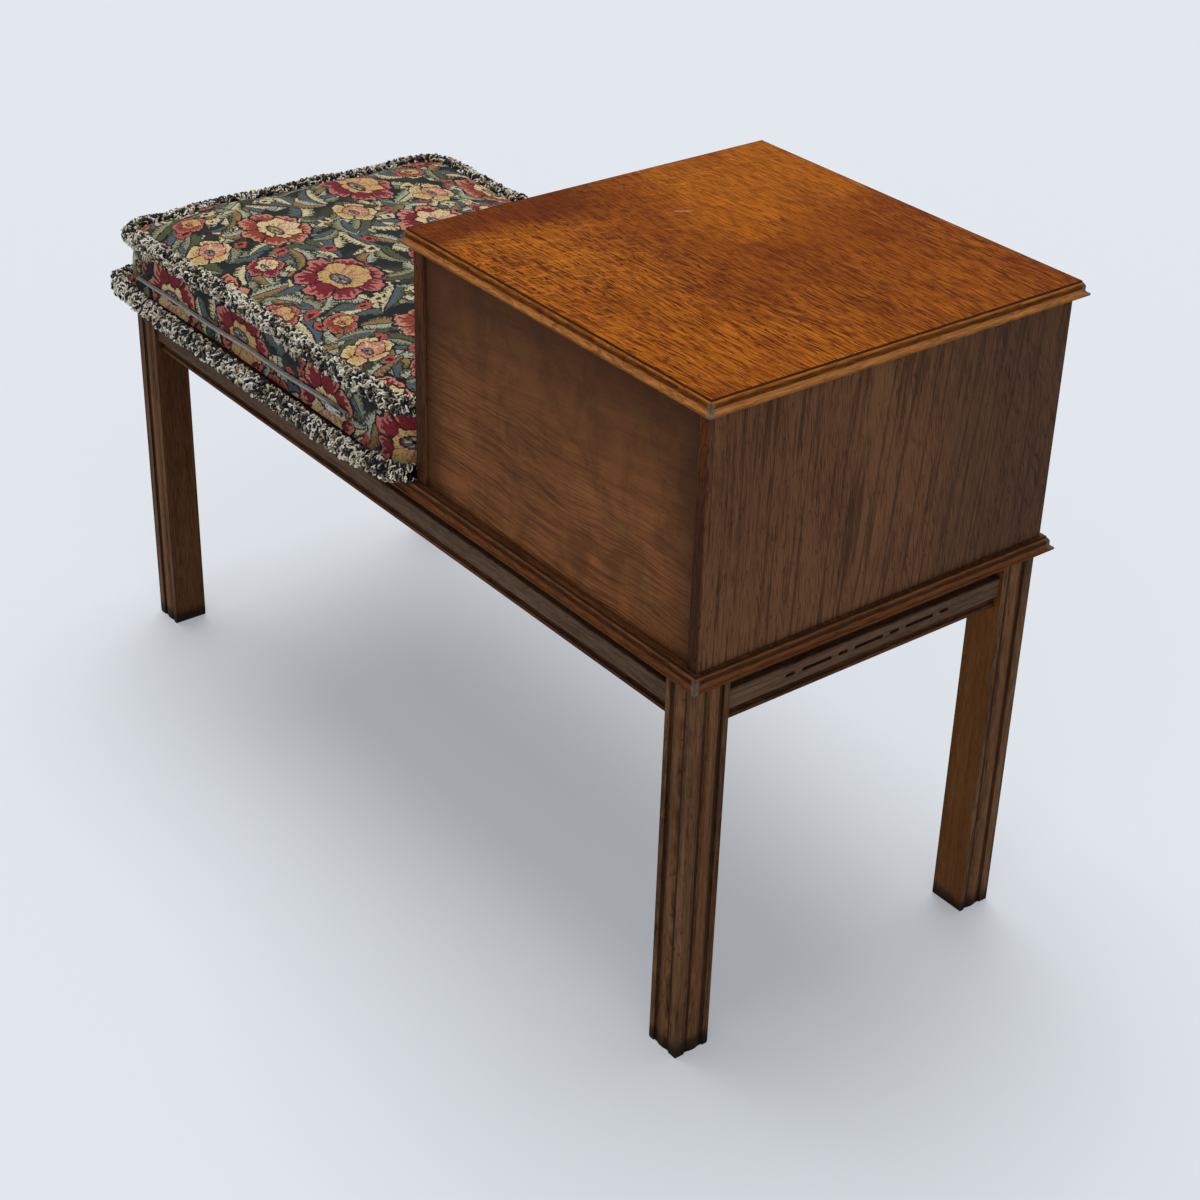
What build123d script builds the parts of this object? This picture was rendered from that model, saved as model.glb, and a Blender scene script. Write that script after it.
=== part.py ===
from build123d import *
from math import acos, atan2, cos, degrees, hypot, radians, sin, sqrt
import os

# Telephone bench: an oak stand, a cabinet with a drawer, and a loose box cushion.
#
# Millimetres, +Z up. The origin is on the floor under the middle of the stand. The cabinet
# stands at the -X end, the seat is at the +X end, and the drawer opens towards -Y (the
# front). Every piece is one node, written to parts/NODE.step.

# ---------------------------------------------------------------- stand
STAND_LENGTH = 900.0        # over the outer faces of the legs, along X
STAND_DEPTH = 375.0         # over the outer faces of the legs, along Y
LEG_HEIGHT = 376.5
LEG_FOOT_CHAMFER = 1.2
LEG_FILLET = 9.5            # flat band beside the leg's outer arris
LEG_GROOVE = 3.75           # flat bottom of each groove beside the bead
LEG_BEAD = 12.6
LEG_INNER_FILLET = 5.8      # flat band beside the leg's inner faces
LEG_WIDTH = LEG_FILLET + 2 * LEG_GROOVE + LEG_BEAD + LEG_INNER_FILLET  # square legs
LEG_MOULD_DEPTH = 1.3
LEG_BEAD_BELOW = 0.2        # crown of the bead behind the face of the leg

RAIL_HEIGHT = 49.5
RAIL_THICKNESS = 19.0
RAIL_SET_BACK = 10.0        # face of the rail behind the face of the leg
RAIL_LIP_PROUD = 3.5        # small lip along the rail's bottom edge
RAIL_LIP_HEIGHT = 3.2
TENON_LENGTH = 9.0
TENON_THICKNESS = 8.0
TENON_SHOULDER = 7.0        # above and below the tenon
MORTISE_EXTRA_DEPTH = 0.5

STRIP_SET_BACK = 3.0        # face of the planted strip behind the face of the leg
STRIP_HEIGHT = 18.0
STRIP_ABOVE_RAIL_FOOT = 11.5
STRIP_EDGE = 0.8
FRET_PITCH = 28.6           # centre of a short slot to centre of the next long one
FRET_LONG = 32.0
FRET_SHORT = 10.5
FRET_HEIGHT = 3.2
FRET_DEPTH = 3.0
FRET_CHAMFER = 1.0          # cut corners of a slot
FRET_MARGIN = 4.0           # least plain wood at the end of a strip

BLOCK_LEG = 40.0            # corner block, along each rail
BLOCK_HEIGHT = 36.0
BLOCK_SCREW_INWARD = 12.0   # screw from the leg's inner faces

# ---------------------------------------------------------------- moulded boards
BOARD_THICKNESS = 12.0      # base board and top board
LIP_EDGE = 1.8              # upright edge under the cove
COVE_RADIUS = 3.2
ROUND_WIDTH = 2.3           # convex part of the ogee, from the cove inwards
ROUND_SHOULDER = (0.78, 0.66)  # where it is fullest, in shares of its width and rise
QUIRK_STEP = 1.0            # small upright step at the rim of the flat
BASE_OVERHANG = 11.35       # lip of the base board beyond the legs
TOP_OVERHANG = 9.1          # lip of the top board beyond the cabinet

# ---------------------------------------------------------------- cabinet
CABINET_LENGTH = 383.0
CABINET_HEIGHT = 221.5
CABINET_PROUD = 2.0         # cabinet's outer faces beyond the legs' faces
SIDE_THICKNESS = 12.5
SIDE_ARRIS = 0.8
BACK_THICKNESS = 4.0
BACK_RECESS = 4.0           # back panel behind the rear edges of the sides
GROOVE_DEPTH = 5.0
FRONT_RAIL_HEIGHT = 14.0
FRONT_RAIL_DEPTH = 32.0
DRAWER_OPENING_HEIGHT = 84.0
SHELF_THICKNESS = 12.0
SHELF_HOUSING = 4.0         # shelf let into the sides
BATTEN_WIDTH = 14.0
BATTEN_BACK_GAP = 20.0      # batten's rear end to the back panel
BATTEN_SCREW_MARGIN = 38.0  # outer screws from the batten's ends
DOWEL_RADIUS = 3.0
DOWEL_IN_SIDE = 14.0
DOWEL_IN_BASE = 8.0
DOWEL_END_MARGIN = 45.0
DOWELS_PER_SIDE = 4
STOP_LENGTH = 40.0
STOP_INWARD = 40.0          # from the cabinet side to the stop
STOP_WIDTH = 12.0
STOP_HEIGHT = 8.0
STOP_GAP = 0.3              # closed drawer to the stops

# ---------------------------------------------------------------- drawer
DRAWER_SIDE_GAP = 1.0
DRAWER_RIDE = 0.3           # between the drawer's underside and the shelf
DRAWER_TOP_GAP = 1.5
DRAWER_FRONT_THICKNESS = 15.0
DRAWER_FRONT_RECESS = 1.0   # front behind the cabinet's front edges
DRAWER_FRONT_CHAMFER = 2.0
DRAWER_WALL = 9.0
DRAWER_WALL_DROP = 8.0      # sides lower than the front
DRAWER_HOUSING = 5.0        # sides let into the front
DRAWER_BOTTOM = 4.0
DRAWER_BOTTOM_UP = 6.0
DRAWER_BOTTOM_LET_IN = 4.0

# ---------------------------------------------------------------- handle
PLATE_LENGTH = 116.0
PLATE_HEIGHT = 30.0
PLATE_THICKNESS = 1.6
PLATE_WAIST = 4.5           # how far each long edge curves in
PLATE_POINT = 13.5          # length of the pointed end
PLATE_POINT_BOW = 2.2       # fullness of the pointed end's edges
HANDLE_ABOVE_MIDDLE = 8.0   # posts above the middle of the drawer front
POST_SPACING = 76.0
POST_REACH = 13.0           # plate face to the axis of the bail
POST_STEM_RADIUS = 3.0
POST_FOOT_RADIUS = 5.2
POST_FOOT_HEIGHT = 2.2
POST_FOOT_TAPER = 1.2
POST_BALL_RADIUS = 5.0
POST_SIDES = 16             # flats round a post
POST_BALL_TAPERS = 5        # short tapers that turn the ball, from neck to tip
PIN_RADIUS = 1.5
PIN_CLEARANCE = 0.06
PIN_DEPTH = 3.4             # how far each bail end reaches into its post
BAIL_ROD_RADIUS = 2.1
BAIL_ROD_SIDES = 10         # flats left by the file
BAIL_EYE_RADIUS = 2.7       # thicker end that carries the pin
BAIL_EYE_LENGTH = 4.6
BAIL_POST_GAP = 3.6         # post ball to the inside of the bail's arm
BAIL_DROP = 27.0
BAIL_KNEE_DROP = 13.0
BAIL_KNEE_IN = 13.0
BAIL_BEND = 5.0
NUT_RADIUS = 4.5
NUT_THICKNESS = 3.0
STUD_RADIUS = 2.0
STUD_BEYOND_NUT = 1.5
CUT_THROUGH = 1.0           # a drill's path past the surface

# ---------------------------------------------------------------- screws and dowels
BAR_SIDES = 8               # flutes of a dowel, flats of a screw's shank
SCREW_RADIUS = 1.9
SCREW_HEAD_RADIUS = 3.8
SCREW_BITE = 8.0            # length of a screw in the board it holds

# ---------------------------------------------------------------- cushion
SOFT_GAP = 0.3              # soft pieces to the wood beside them
CUSHION_END_OVERHANG = 10.5  # foot fringe beyond the base board's lip at the seat end
CUSHION_SIDE_OVERHANG = 2.6
BOXING_HEIGHT = 47.5        # between the centres of the two fringes
CROWN_HEIGHT = 16.0         # crown above the head fringe's centre
FOOT_FRINGE_RADIUS = 6.0
HEAD_FRINGE_RADIUS = 8.0
FRINGE_SIDES = 8
FRINGE_HEAD_INSET = 7.0     # head fringe drawn in from the foot fringe
WALL_INSET = 1.8            # boxing wall inside the foot fringe's centre line
CUSHION_CORNER = 30.0
CORNER_TIGHTENS = 0.35      # corner radius lost for each unit further inside
LEAST_CORNER = 15.0
DRAWN_IN_LONG = 4.0         # middle of a long side behind its corners
DRAWN_IN_SHORT = 2.5
LEAST_DRAW = 0.2            # keeps a straight side a flat arc
FOOT_TUCK = 8.0             # underside drawn in from the boxing
FOOT_ROUND = 3.0            # height of the rounded edge under the foot fringe
SEAM_TUCK = 7.0             # cover drawn in under the head fringe
SEAM_BAND = 3.2             # boxing to either side of a seam that follows the fringe
CROWN_RUN = 128.0           # from the head seam in to the flat of the crown
CROWN_STEPS = 4
BOXING_TUCK = 1.6           # head of the boxing inside its foot
ZIP_START = 33.0            # closed end of the zip, X
ZIP_LENGTH = 395.0
ZIP_START_HEIGHT = 23.0     # above the base board
ZIP_FALL = 6.7              # over its length
ZIP_TAPE_WIDTH = 7.0
ZIP_TAPE_THICKNESS = 1.2
ZIP_CHAIN_WIDTH = 3.6
ZIP_CHAIN_HEIGHT = 1.4
ZIP_CHAIN_BEVEL = 0.6
SLIDER_LENGTH = 11.0
SLIDER_WIDTH = 6.6
SLIDER_PLATE = 1.3
SLIDER_BEVEL = 0.6
SLIDER_GAP = 0.3
SLIDER_BRIDGE = 2.6         # height of the bridge that carries the pull
SLIDER_BRIDGE_BAR = 1.2
SLIDER_BRIDGE_INSET = 1.0
PULL_LENGTH = 24.0
PULL_WIDTH = 5.6
PULL_THICKNESS = 1.2
PULL_HOLE_RADIUS = 1.1
PULL_PIN_RADIUS = 0.8
PULL_ARM = 7.0              # from the pin to the tab, past the bridge
PULL_EYE_GAP = 0.4

# ---------------------------------------------------------------- places worked out
HALF_LENGTH = STAND_LENGTH / 2
HALF_DEPTH = STAND_DEPTH / 2
RAIL_FOOT = LEG_HEIGHT - RAIL_HEIGHT
BASE_TOP = LEG_HEIGHT + BOARD_THICKNESS
CABINET_TOP = BASE_TOP + CABINET_HEIGHT
CABINET_X0 = -HALF_LENGTH - CABINET_PROUD
CABINET_X1 = CABINET_X0 + CABINET_LENGTH
CABINET_Y = HALF_DEPTH + CABINET_PROUD
INNER_X0 = CABINET_X0 + SIDE_THICKNESS
INNER_X1 = CABINET_X1 - SIDE_THICKNESS
BACK_Y0 = CABINET_Y - BACK_RECESS - BACK_THICKNESS
DRAWER_Z1 = CABINET_TOP - FRONT_RAIL_HEIGHT
DRAWER_Z0 = DRAWER_Z1 - DRAWER_OPENING_HEIGHT
SHELF_Z0 = DRAWER_Z0 - SHELF_THICKNESS
BASE_HALF_X = HALF_LENGTH + BASE_OVERHANG
BASE_HALF_Y = HALF_DEPTH + BASE_OVERHANG

STOP_Y0 = BACK_Y0 - STOP_WIDTH
DRAWER_X0 = INNER_X0 + DRAWER_SIDE_GAP
DRAWER_X1 = INNER_X1 - DRAWER_SIDE_GAP
DRAWER_FLOOR = DRAWER_Z0 + DRAWER_RIDE
DRAWER_HEAD = DRAWER_Z1 - DRAWER_TOP_GAP
FRONT_Y0 = -CABINET_Y + DRAWER_FRONT_RECESS
FRONT_Y1 = FRONT_Y0 + DRAWER_FRONT_THICKNESS
BACK_WALL_Y1 = STOP_Y0 - STOP_GAP
WALL_TOP = DRAWER_HEAD - DRAWER_WALL_DROP
BOTTOM_Z = DRAWER_FLOOR + DRAWER_BOTTOM_UP
HANDLE_X = (DRAWER_X0 + DRAWER_X1) / 2
HANDLE_Z = (DRAWER_FLOOR + DRAWER_HEAD) / 2 + HANDLE_ABOVE_MIDDLE
POST_X = (HANDLE_X - POST_SPACING / 2, HANDLE_X + POST_SPACING / 2)
PLATE_Y = FRONT_Y0 - PLATE_THICKNESS
AXIS_Y = PLATE_Y - POST_REACH

FOOT_LINE_Z = BASE_TOP + SOFT_GAP + FOOT_FRINGE_RADIUS
HEAD_LINE_Z = FOOT_LINE_Z + BOXING_HEIGHT
FOOT_X0 = CABINET_X1 + SOFT_GAP + FOOT_FRINGE_RADIUS
FOOT_X1 = BASE_HALF_X + CUSHION_END_OVERHANG - FOOT_FRINGE_RADIUS
FOOT_Y = BASE_HALF_Y + CUSHION_SIDE_OVERHANG - FOOT_FRINGE_RADIUS
CUSHION_X = (FOOT_X0 + FOOT_X1) / 2
CUSHION_HALF_X = (FOOT_X1 - FOOT_X0) / 2
ZIP_Y = FOOT_Y - WALL_INSET + SOFT_GAP
ZIP_Z = BASE_TOP + ZIP_START_HEIGHT
ZIP_TILT = degrees(atan2(ZIP_FALL, ZIP_LENGTH))
ZIP_FACE = ZIP_TAPE_THICKNESS + ZIP_CHAIN_HEIGHT
PIN_OUT = ZIP_FACE + SLIDER_GAP + SLIDER_PLATE + SLIDER_BRIDGE / 2

PARTS = "parts"


def block(x, y, z):
    """A box from its low and high limits along each axis."""
    size = (x[1] - x[0], y[1] - y[0], z[1] - z[0])
    return Pos(x[0], y[0], z[0]) * Box(*size, align=(Align.MIN, Align.MIN, Align.MIN))


def rod(centre, radius, length, axis="Z"):
    """A cylinder from its starting point along +Z, +X or +Y."""
    turn = {"Z": Rot(0, 0, 0), "X": Rot(0, 90, 0), "Y": Rot(-90, 0, 0)}[axis]
    low = (Align.CENTER, Align.CENTER, Align.MIN)
    return Pos(*centre) * turn * Cylinder(radius, length, align=low)


def bar(x, y, z, radius, length):
    """A slender upright bar with BAR_SIDES flats, standing on z."""
    return Pos(x, y, z) * extrude(RegularPolygon(radius, BAR_SIDES), length)


def prism(points, plane, length):
    """A closed outline on a plane, drawn out along the plane's normal."""
    return extrude(plane * make_face(Polyline(*points, close=True)), length)


def write(name, *solids):
    """Write the separate solids of one node to its STEP file."""
    flat = [solid for piece in solids for solid in piece.solids()]
    shape = flat[0] if len(flat) == 1 else Compound(children=flat)
    shape.label = name
    export_step(shape, os.path.join(PARTS, name + ".step"))


# ---------------------------------------------------------------- stand
def moulded_edge(place):
    """Edges of one moulded face of a leg, from the outer arris to the inner one.

    place(along, depth) gives the point of the section.
    """
    start = LEG_FILLET
    bead = start + LEG_GROOVE
    end = bead + LEG_BEAD
    last = end + LEG_GROOVE
    deep = LEG_MOULD_DEPTH
    crown = place((bead + end) / 2, LEG_BEAD_BELOW)
    return [
        Polyline(place(0, 0), place(start, 0), place(start, deep), place(bead, deep)),
        ThreePointArc(place(bead, deep), crown, place(end, deep)),
        Polyline(place(end, deep), place(last, deep), place(last, 0), place(LEG_WIDTH, 0)),
    ]


def leg_section():
    """Section of a leg whose outer arris is at the origin and whose body lies towards +X, -Y."""
    def on_back(along, depth):
        return along, -depth

    def on_end(along, depth):
        return depth, -along

    back = moulded_edge(on_back)
    end = moulded_edge(on_end)
    inside = Polyline((LEG_WIDTH, 0), (LEG_WIDTH, -LEG_WIDTH), (0, -LEG_WIDTH))
    return make_face(Curve() + back + end + inside)


def leg():
    """The leg under the cabinet's back corner, with a mortise for each rail."""
    body = extrude(leg_section(), LEG_HEIGHT)
    foot = body.faces().sort_by(Axis.Z)[0]
    inner = foot.edges().filter_by(GeomType.LINE).sort_by(Edge.length)[-2:]
    body = chamfer(inner, LEG_FOOT_CHAMFER)
    near = RAIL_SET_BACK + (RAIL_THICKNESS - TENON_THICKNESS) / 2
    far = near + TENON_THICKNESS
    deep = LEG_WIDTH - TENON_LENGTH - MORTISE_EXTRA_DEPTH
    up = (RAIL_FOOT + TENON_SHOULDER, LEG_HEIGHT - TENON_SHOULDER)
    body -= block((deep, LEG_WIDTH), (-far, -near), up)
    body -= block((near, far), (-LEG_WIDTH, -deep), up)
    return Pos(-HALF_LENGTH, HALF_DEPTH, 0) * body


def rail(span):
    """A rail along X, centred, whose face is towards +Y and whose leg face is at Y 0."""
    face = -RAIL_SET_BACK
    lip = face + RAIL_LIP_PROUD
    cove_top = RAIL_FOOT + RAIL_LIP_HEIGHT + RAIL_LIP_PROUD
    bend = RAIL_LIP_PROUD * (1 - sqrt(0.5))
    middle = (face + bend, cove_top - RAIL_LIP_PROUD + bend)
    outline = Curve() + [
        Polyline((face, cove_top), (face, LEG_HEIGHT), (face - RAIL_THICKNESS, LEG_HEIGHT),
                 (face - RAIL_THICKNESS, RAIL_FOOT), (lip, RAIL_FOOT),
                 (lip, cove_top - RAIL_LIP_PROUD)),
        ThreePointArc((lip, cove_top - RAIL_LIP_PROUD), middle, (face, cove_top)),
    ]
    body = extrude(Plane.YZ * make_face(outline), span / 2, both=True)
    near = face - (RAIL_THICKNESS - TENON_THICKNESS) / 2
    reach = span / 2 + TENON_LENGTH
    tenons = block((-reach, reach), (near - TENON_THICKNESS, near),
                   (RAIL_FOOT + TENON_SHOULDER, LEG_HEIGHT - TENON_SHOULDER))
    return body + tenons


def fret_slots(span, middle):
    """Slots with cut corners, long and short by turns, with a short one at each end."""
    room = span / 2 - FRET_MARGIN - FRET_SHORT / 2
    last = int(room // FRET_PITCH)
    last -= 1 - last % 2
    slots = Sketch()
    for index in range(-last, last + 1):
        length = FRET_SHORT if index % 2 else FRET_LONG
        slot = Rectangle(length, FRET_HEIGHT)
        slots += Pos(index * FRET_PITCH, middle) * chamfer(slot.vertices(), FRET_CHAMFER)
    return slots


def strip(span, fretted):
    """The strip planted on a rail, centred on X, with its leg face at Y 0."""
    foot = RAIL_FOOT + STRIP_ABOVE_RAIL_FOOT
    face = -STRIP_SET_BACK
    edge = STRIP_EDGE
    points = [(-RAIL_SET_BACK, foot), (face - edge, foot), (face, foot + edge),
              (face, foot + STRIP_HEIGHT - edge), (face - edge, foot + STRIP_HEIGHT),
              (-RAIL_SET_BACK, foot + STRIP_HEIGHT)]
    body = Pos(-span / 2, 0, 0) * prism(points, Plane.YZ, span)
    if fretted:
        front = Plane(origin=(0, face, 0), x_dir=(-1, 0, 0), z_dir=(0, 1, 0))
        slots = fret_slots(span, foot + STRIP_HEIGHT / 2)
        body -= extrude(front * slots, -FRET_DEPTH)
    return body


def corner_block():
    """Glue block in the back corner under the cabinet, notched round the leg."""
    rail_inside = RAIL_SET_BACK + RAIL_THICKNESS
    far = LEG_WIDTH + BLOCK_LEG
    points = [(LEG_WIDTH, -rail_inside), (far, -rail_inside), (rail_inside, -far),
              (rail_inside, -LEG_WIDTH), (LEG_WIDTH, -LEG_WIDTH)]
    body = prism(points, Plane.XY, BLOCK_HEIGHT)
    body = Pos(-HALF_LENGTH, HALF_DEPTH, LEG_HEIGHT - BLOCK_HEIGHT) * body
    return body - screw(*block_screw_place(), LEG_HEIGHT - BLOCK_HEIGHT, BLOCK_HEIGHT)


def block_screw_place():
    """X and Y of the screw in the corner block."""
    inward = LEG_WIDTH + BLOCK_SCREW_INWARD
    return -HALF_LENGTH + inward, HALF_DEPTH - inward


def screw(x, y, z, grip):
    """A countersunk screw driven up from z, through grip, into the board above.

    Its hole is the same shape, cut from what it passes through.
    """
    neck = SCREW_HEAD_RADIUS - SCREW_RADIUS
    rim = RegularPolygon(SCREW_HEAD_RADIUS, BAR_SIDES)
    shank = Pos(0, 0, neck) * RegularPolygon(SCREW_RADIUS, BAR_SIDES)
    head = Pos(x, y, z) * loft([rim, shank], ruled=True)
    return head + bar(x, y, z + neck, SCREW_RADIUS, grip + SCREW_BITE - neck)


def four_corners(piece):
    """The piece, made for the -X, +Y corner, at all four corners."""
    other = mirror(piece, Plane.YZ)
    return [piece, other, mirror(piece, Plane.XZ), mirror(other, Plane.XZ)]


def ogee_section(half, thickness):
    """Section of a board with the ogee on both edges, centred, standing on 0."""
    cove_in = half - COVE_RADIUS
    cove_top = LIP_EDGE + COVE_RADIUS
    cove_bend = COVE_RADIUS * (1 - sqrt(0.5))
    rim = cove_in - ROUND_WIDTH
    round_top = thickness - QUIRK_STEP
    out, up = ROUND_SHOULDER
    shoulder = (rim + ROUND_WIDTH * out, cove_top + (round_top - cove_top) * up)

    def side(sign):
        lip = (sign * half, LIP_EDGE)
        bend = (sign * (cove_in + cove_bend), LIP_EDGE + cove_bend)
        meet = (sign * cove_in, cove_top)
        head = (sign * rim, round_top)
        return [
            Line((sign * half, 0), lip),
            ThreePointArc(lip, bend, meet),
            ThreePointArc(meet, (sign * shoulder[0], shoulder[1]), head),
            Line(head, (sign * rim, thickness)),
        ]

    flats = [Line((-half, 0), (half, 0)), Line((-rim, thickness), (rim, thickness))]
    return make_face(Curve() + side(1) + side(-1) + flats)


def moulded_board(half_x, half_y):
    """A board with the ogee run round all four edges and mitred at the corners."""
    along_x = extrude(Plane.YZ * ogee_section(half_y, BOARD_THICKNESS), half_x, both=True)
    along_y = extrude(Plane.XZ * ogee_section(half_x, BOARD_THICKNESS), half_y, both=True)
    return along_x & along_y


def base_board():
    """The long board under cabinet and cushion."""
    body = Pos(0, 0, LEG_HEIGHT) * moulded_board(BASE_HALF_X, BASE_HALF_Y)
    for x, y in screw_places():
        body -= screw(x, y, LEG_HEIGHT - BLOCK_HEIGHT, BLOCK_HEIGHT)
    for place in dowel_places():
        body -= dowel(place)
    return body


def screw_places():
    """X and Y of the four screws in the corner blocks."""
    x, y = block_screw_place()
    return [(i * x, j * y) for i in (1, -1) for j in (1, -1)]


# ---------------------------------------------------------------- cabinet
def dowel_places():
    """Lower end of each dowel between the base board and the cabinet sides."""
    reach = CABINET_Y - DOWEL_END_MARGIN
    step = 2 * reach / (DOWELS_PER_SIDE - 1)
    rows = [CABINET_X0 + SIDE_THICKNESS / 2, CABINET_X1 - SIDE_THICKNESS / 2]
    return [(x, -reach + i * step, BASE_TOP - DOWEL_IN_BASE)
            for x in rows for i in range(DOWELS_PER_SIDE)]


def dowel(place):
    """A fluted dowel from its lower end, or its hole."""
    return bar(*place, DOWEL_RADIUS, DOWEL_IN_BASE + DOWEL_IN_SIDE)


def cabinet_side(x0, inward):
    """A side of the cabinet from its low X; inward is +1 or -1, the way to the inside."""
    x1 = x0 + SIDE_THICKNESS
    body = block((x0, x1), (-CABINET_Y, CABINET_Y), (BASE_TOP, CABINET_TOP))
    body = chamfer(body.edges().filter_by(Axis.Z), SIDE_ARRIS)

    def into(depth):
        return (x1 - depth, x1) if inward > 0 else (x0, x0 + depth)

    body -= block(into(GROOVE_DEPTH), (BACK_Y0, BACK_Y0 + BACK_THICKNESS),
                  (BASE_TOP, CABINET_TOP))
    body -= block(into(SHELF_HOUSING), (-CABINET_Y, BACK_Y0), (SHELF_Z0, DRAWER_Z0))
    for place in dowel_places():
        if x0 < place[0] < x1:
            body -= dowel(place)
    return body


def back_panel():
    """Plywood back, let into grooves in the two sides."""
    return block((INNER_X0 - GROOVE_DEPTH, INNER_X1 + GROOVE_DEPTH),
                 (BACK_Y0, BACK_Y0 + BACK_THICKNESS), (BASE_TOP, CABINET_TOP))


def shelf():
    """The board under the drawer, housed in the sides."""
    body = block((INNER_X0 - SHELF_HOUSING, INNER_X1 + SHELF_HOUSING), (-CABINET_Y, BACK_Y0),
                 (SHELF_Z0, DRAWER_Z0))
    front = body.faces().sort_by(Axis.Y)[0]
    return chamfer(front.edges().filter_by(Axis.X), SIDE_ARRIS)


def front_rail():
    """The rail over the drawer."""
    return block((INNER_X0, INNER_X1), (-CABINET_Y, -CABINET_Y + FRONT_RAIL_DEPTH),
                 (DRAWER_Z1, CABINET_TOP))


def battens():
    """The two battens that hold the top board and keep the drawer from tipping."""
    y = (-CABINET_Y + FRONT_RAIL_DEPTH, BACK_Y0 - BATTEN_BACK_GAP)
    z = (DRAWER_Z1, CABINET_TOP)
    left = block((INNER_X0, INNER_X0 + BATTEN_WIDTH), y, z)
    right = block((INNER_X1 - BATTEN_WIDTH, INNER_X1), y, z)
    for x, y_screw in batten_screws():
        hole = screw(x, y_screw, DRAWER_Z1, FRONT_RAIL_HEIGHT)
        left -= hole
        right -= hole
    return left, right


def batten_screws():
    """X and Y of the screws that hold the top board."""
    low = -CABINET_Y + FRONT_RAIL_DEPTH + BATTEN_SCREW_MARGIN
    high = BACK_Y0 - BATTEN_BACK_GAP - BATTEN_SCREW_MARGIN
    rows = [INNER_X0 + BATTEN_WIDTH / 2, INNER_X1 - BATTEN_WIDTH / 2]
    return [(x, y) for x in rows for y in (low, (low + high) / 2, high)]


def top_board():
    """The moulded top of the cabinet."""
    half_x = CABINET_LENGTH / 2 + TOP_OVERHANG
    centre = (CABINET_X0 + CABINET_X1) / 2
    body = Pos(centre, 0, CABINET_TOP) * moulded_board(half_x, CABINET_Y + TOP_OVERHANG)
    for x, y in batten_screws():
        body -= screw(x, y, DRAWER_Z1, FRONT_RAIL_HEIGHT)
    return body


def drawer_stops():
    """Two small blocks on the shelf that the drawer's back meets."""
    y = (STOP_Y0, BACK_Y0)
    z = (DRAWER_Z0, DRAWER_Z0 + STOP_HEIGHT)
    near = STOP_INWARD
    far = STOP_INWARD + STOP_LENGTH
    left = block((INNER_X0 + near, INNER_X0 + far), y, z)
    right = block((INNER_X1 - far, INNER_X1 - near), y, z)
    return left, right


# ---------------------------------------------------------------- drawer
def drawer_bottom():
    """Plywood bottom, let into the front, the sides and under the back."""
    return block((DRAWER_X0 + DRAWER_WALL - DRAWER_BOTTOM_LET_IN,
                  DRAWER_X1 - DRAWER_WALL + DRAWER_BOTTOM_LET_IN),
                 (FRONT_Y1 - DRAWER_BOTTOM_LET_IN, BACK_WALL_Y1),
                 (BOTTOM_Z, BOTTOM_Z + DRAWER_BOTTOM))


def drawer_front():
    """Solid front with a bevelled edge, housings for the sides and holes for the studs."""
    body = block((DRAWER_X0, DRAWER_X1), (FRONT_Y0, FRONT_Y1), (DRAWER_FLOOR, DRAWER_HEAD))
    face = body.faces().sort_by(Axis.Y)[0]
    body = chamfer(face.edges(), DRAWER_FRONT_CHAMFER)
    for x in POST_X:
        body -= rod((x, FRONT_Y0, HANDLE_Z), STUD_RADIUS, DRAWER_FRONT_THICKNESS, "Y")
    return body - drawer_wall(DRAWER_X0) - drawer_wall(DRAWER_X1 - DRAWER_WALL) - drawer_bottom()


def drawer_wall(x0):
    """A drawer side from its low X."""
    body = block((x0, x0 + DRAWER_WALL), (FRONT_Y1 - DRAWER_HOUSING, BACK_WALL_Y1),
                 (DRAWER_FLOOR, WALL_TOP))
    return body - drawer_bottom()


def drawer_back():
    """The drawer's back, between the sides and on the bottom."""
    return block((DRAWER_X0 + DRAWER_WALL, DRAWER_X1 - DRAWER_WALL),
                 (BACK_WALL_Y1 - DRAWER_WALL, BACK_WALL_Y1),
                 (BOTTOM_Z + DRAWER_BOTTOM, WALL_TOP))


def handle_plate():
    """Thin brass plate with pointed ends and long edges that curve in."""
    half = PLATE_LENGTH / 2
    high = PLATE_HEIGHT / 2
    shoulder = half - PLATE_POINT
    waist = high - PLATE_WAIST
    slant = hypot(PLATE_POINT, high)
    middle_x = (half + shoulder) / 2 + PLATE_POINT_BOW * high / slant
    middle_z = high / 2 + PLATE_POINT_BOW * PLATE_POINT / slant
    edges = []
    for up in (1, -1):
        edges.append(ThreePointArc((-shoulder, up * high), (0, up * waist), (shoulder, up * high)))
        for out in (1, -1):
            middle = (out * middle_x, up * middle_z)
            edges.append(ThreePointArc((out * shoulder, up * high), middle, (out * half, 0)))
    outline = make_face(Curve() + edges)
    front = Plane(origin=(HANDLE_X, FRONT_Y0, HANDLE_Z), x_dir=(1, 0, 0), z_dir=(0, -1, 0))
    body = extrude(front * outline, PLATE_THICKNESS)
    for x in POST_X:
        body -= rod((x, PLATE_Y, HANDLE_Z), STUD_RADIUS, PLATE_THICKNESS, "Y")
    return body


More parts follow.
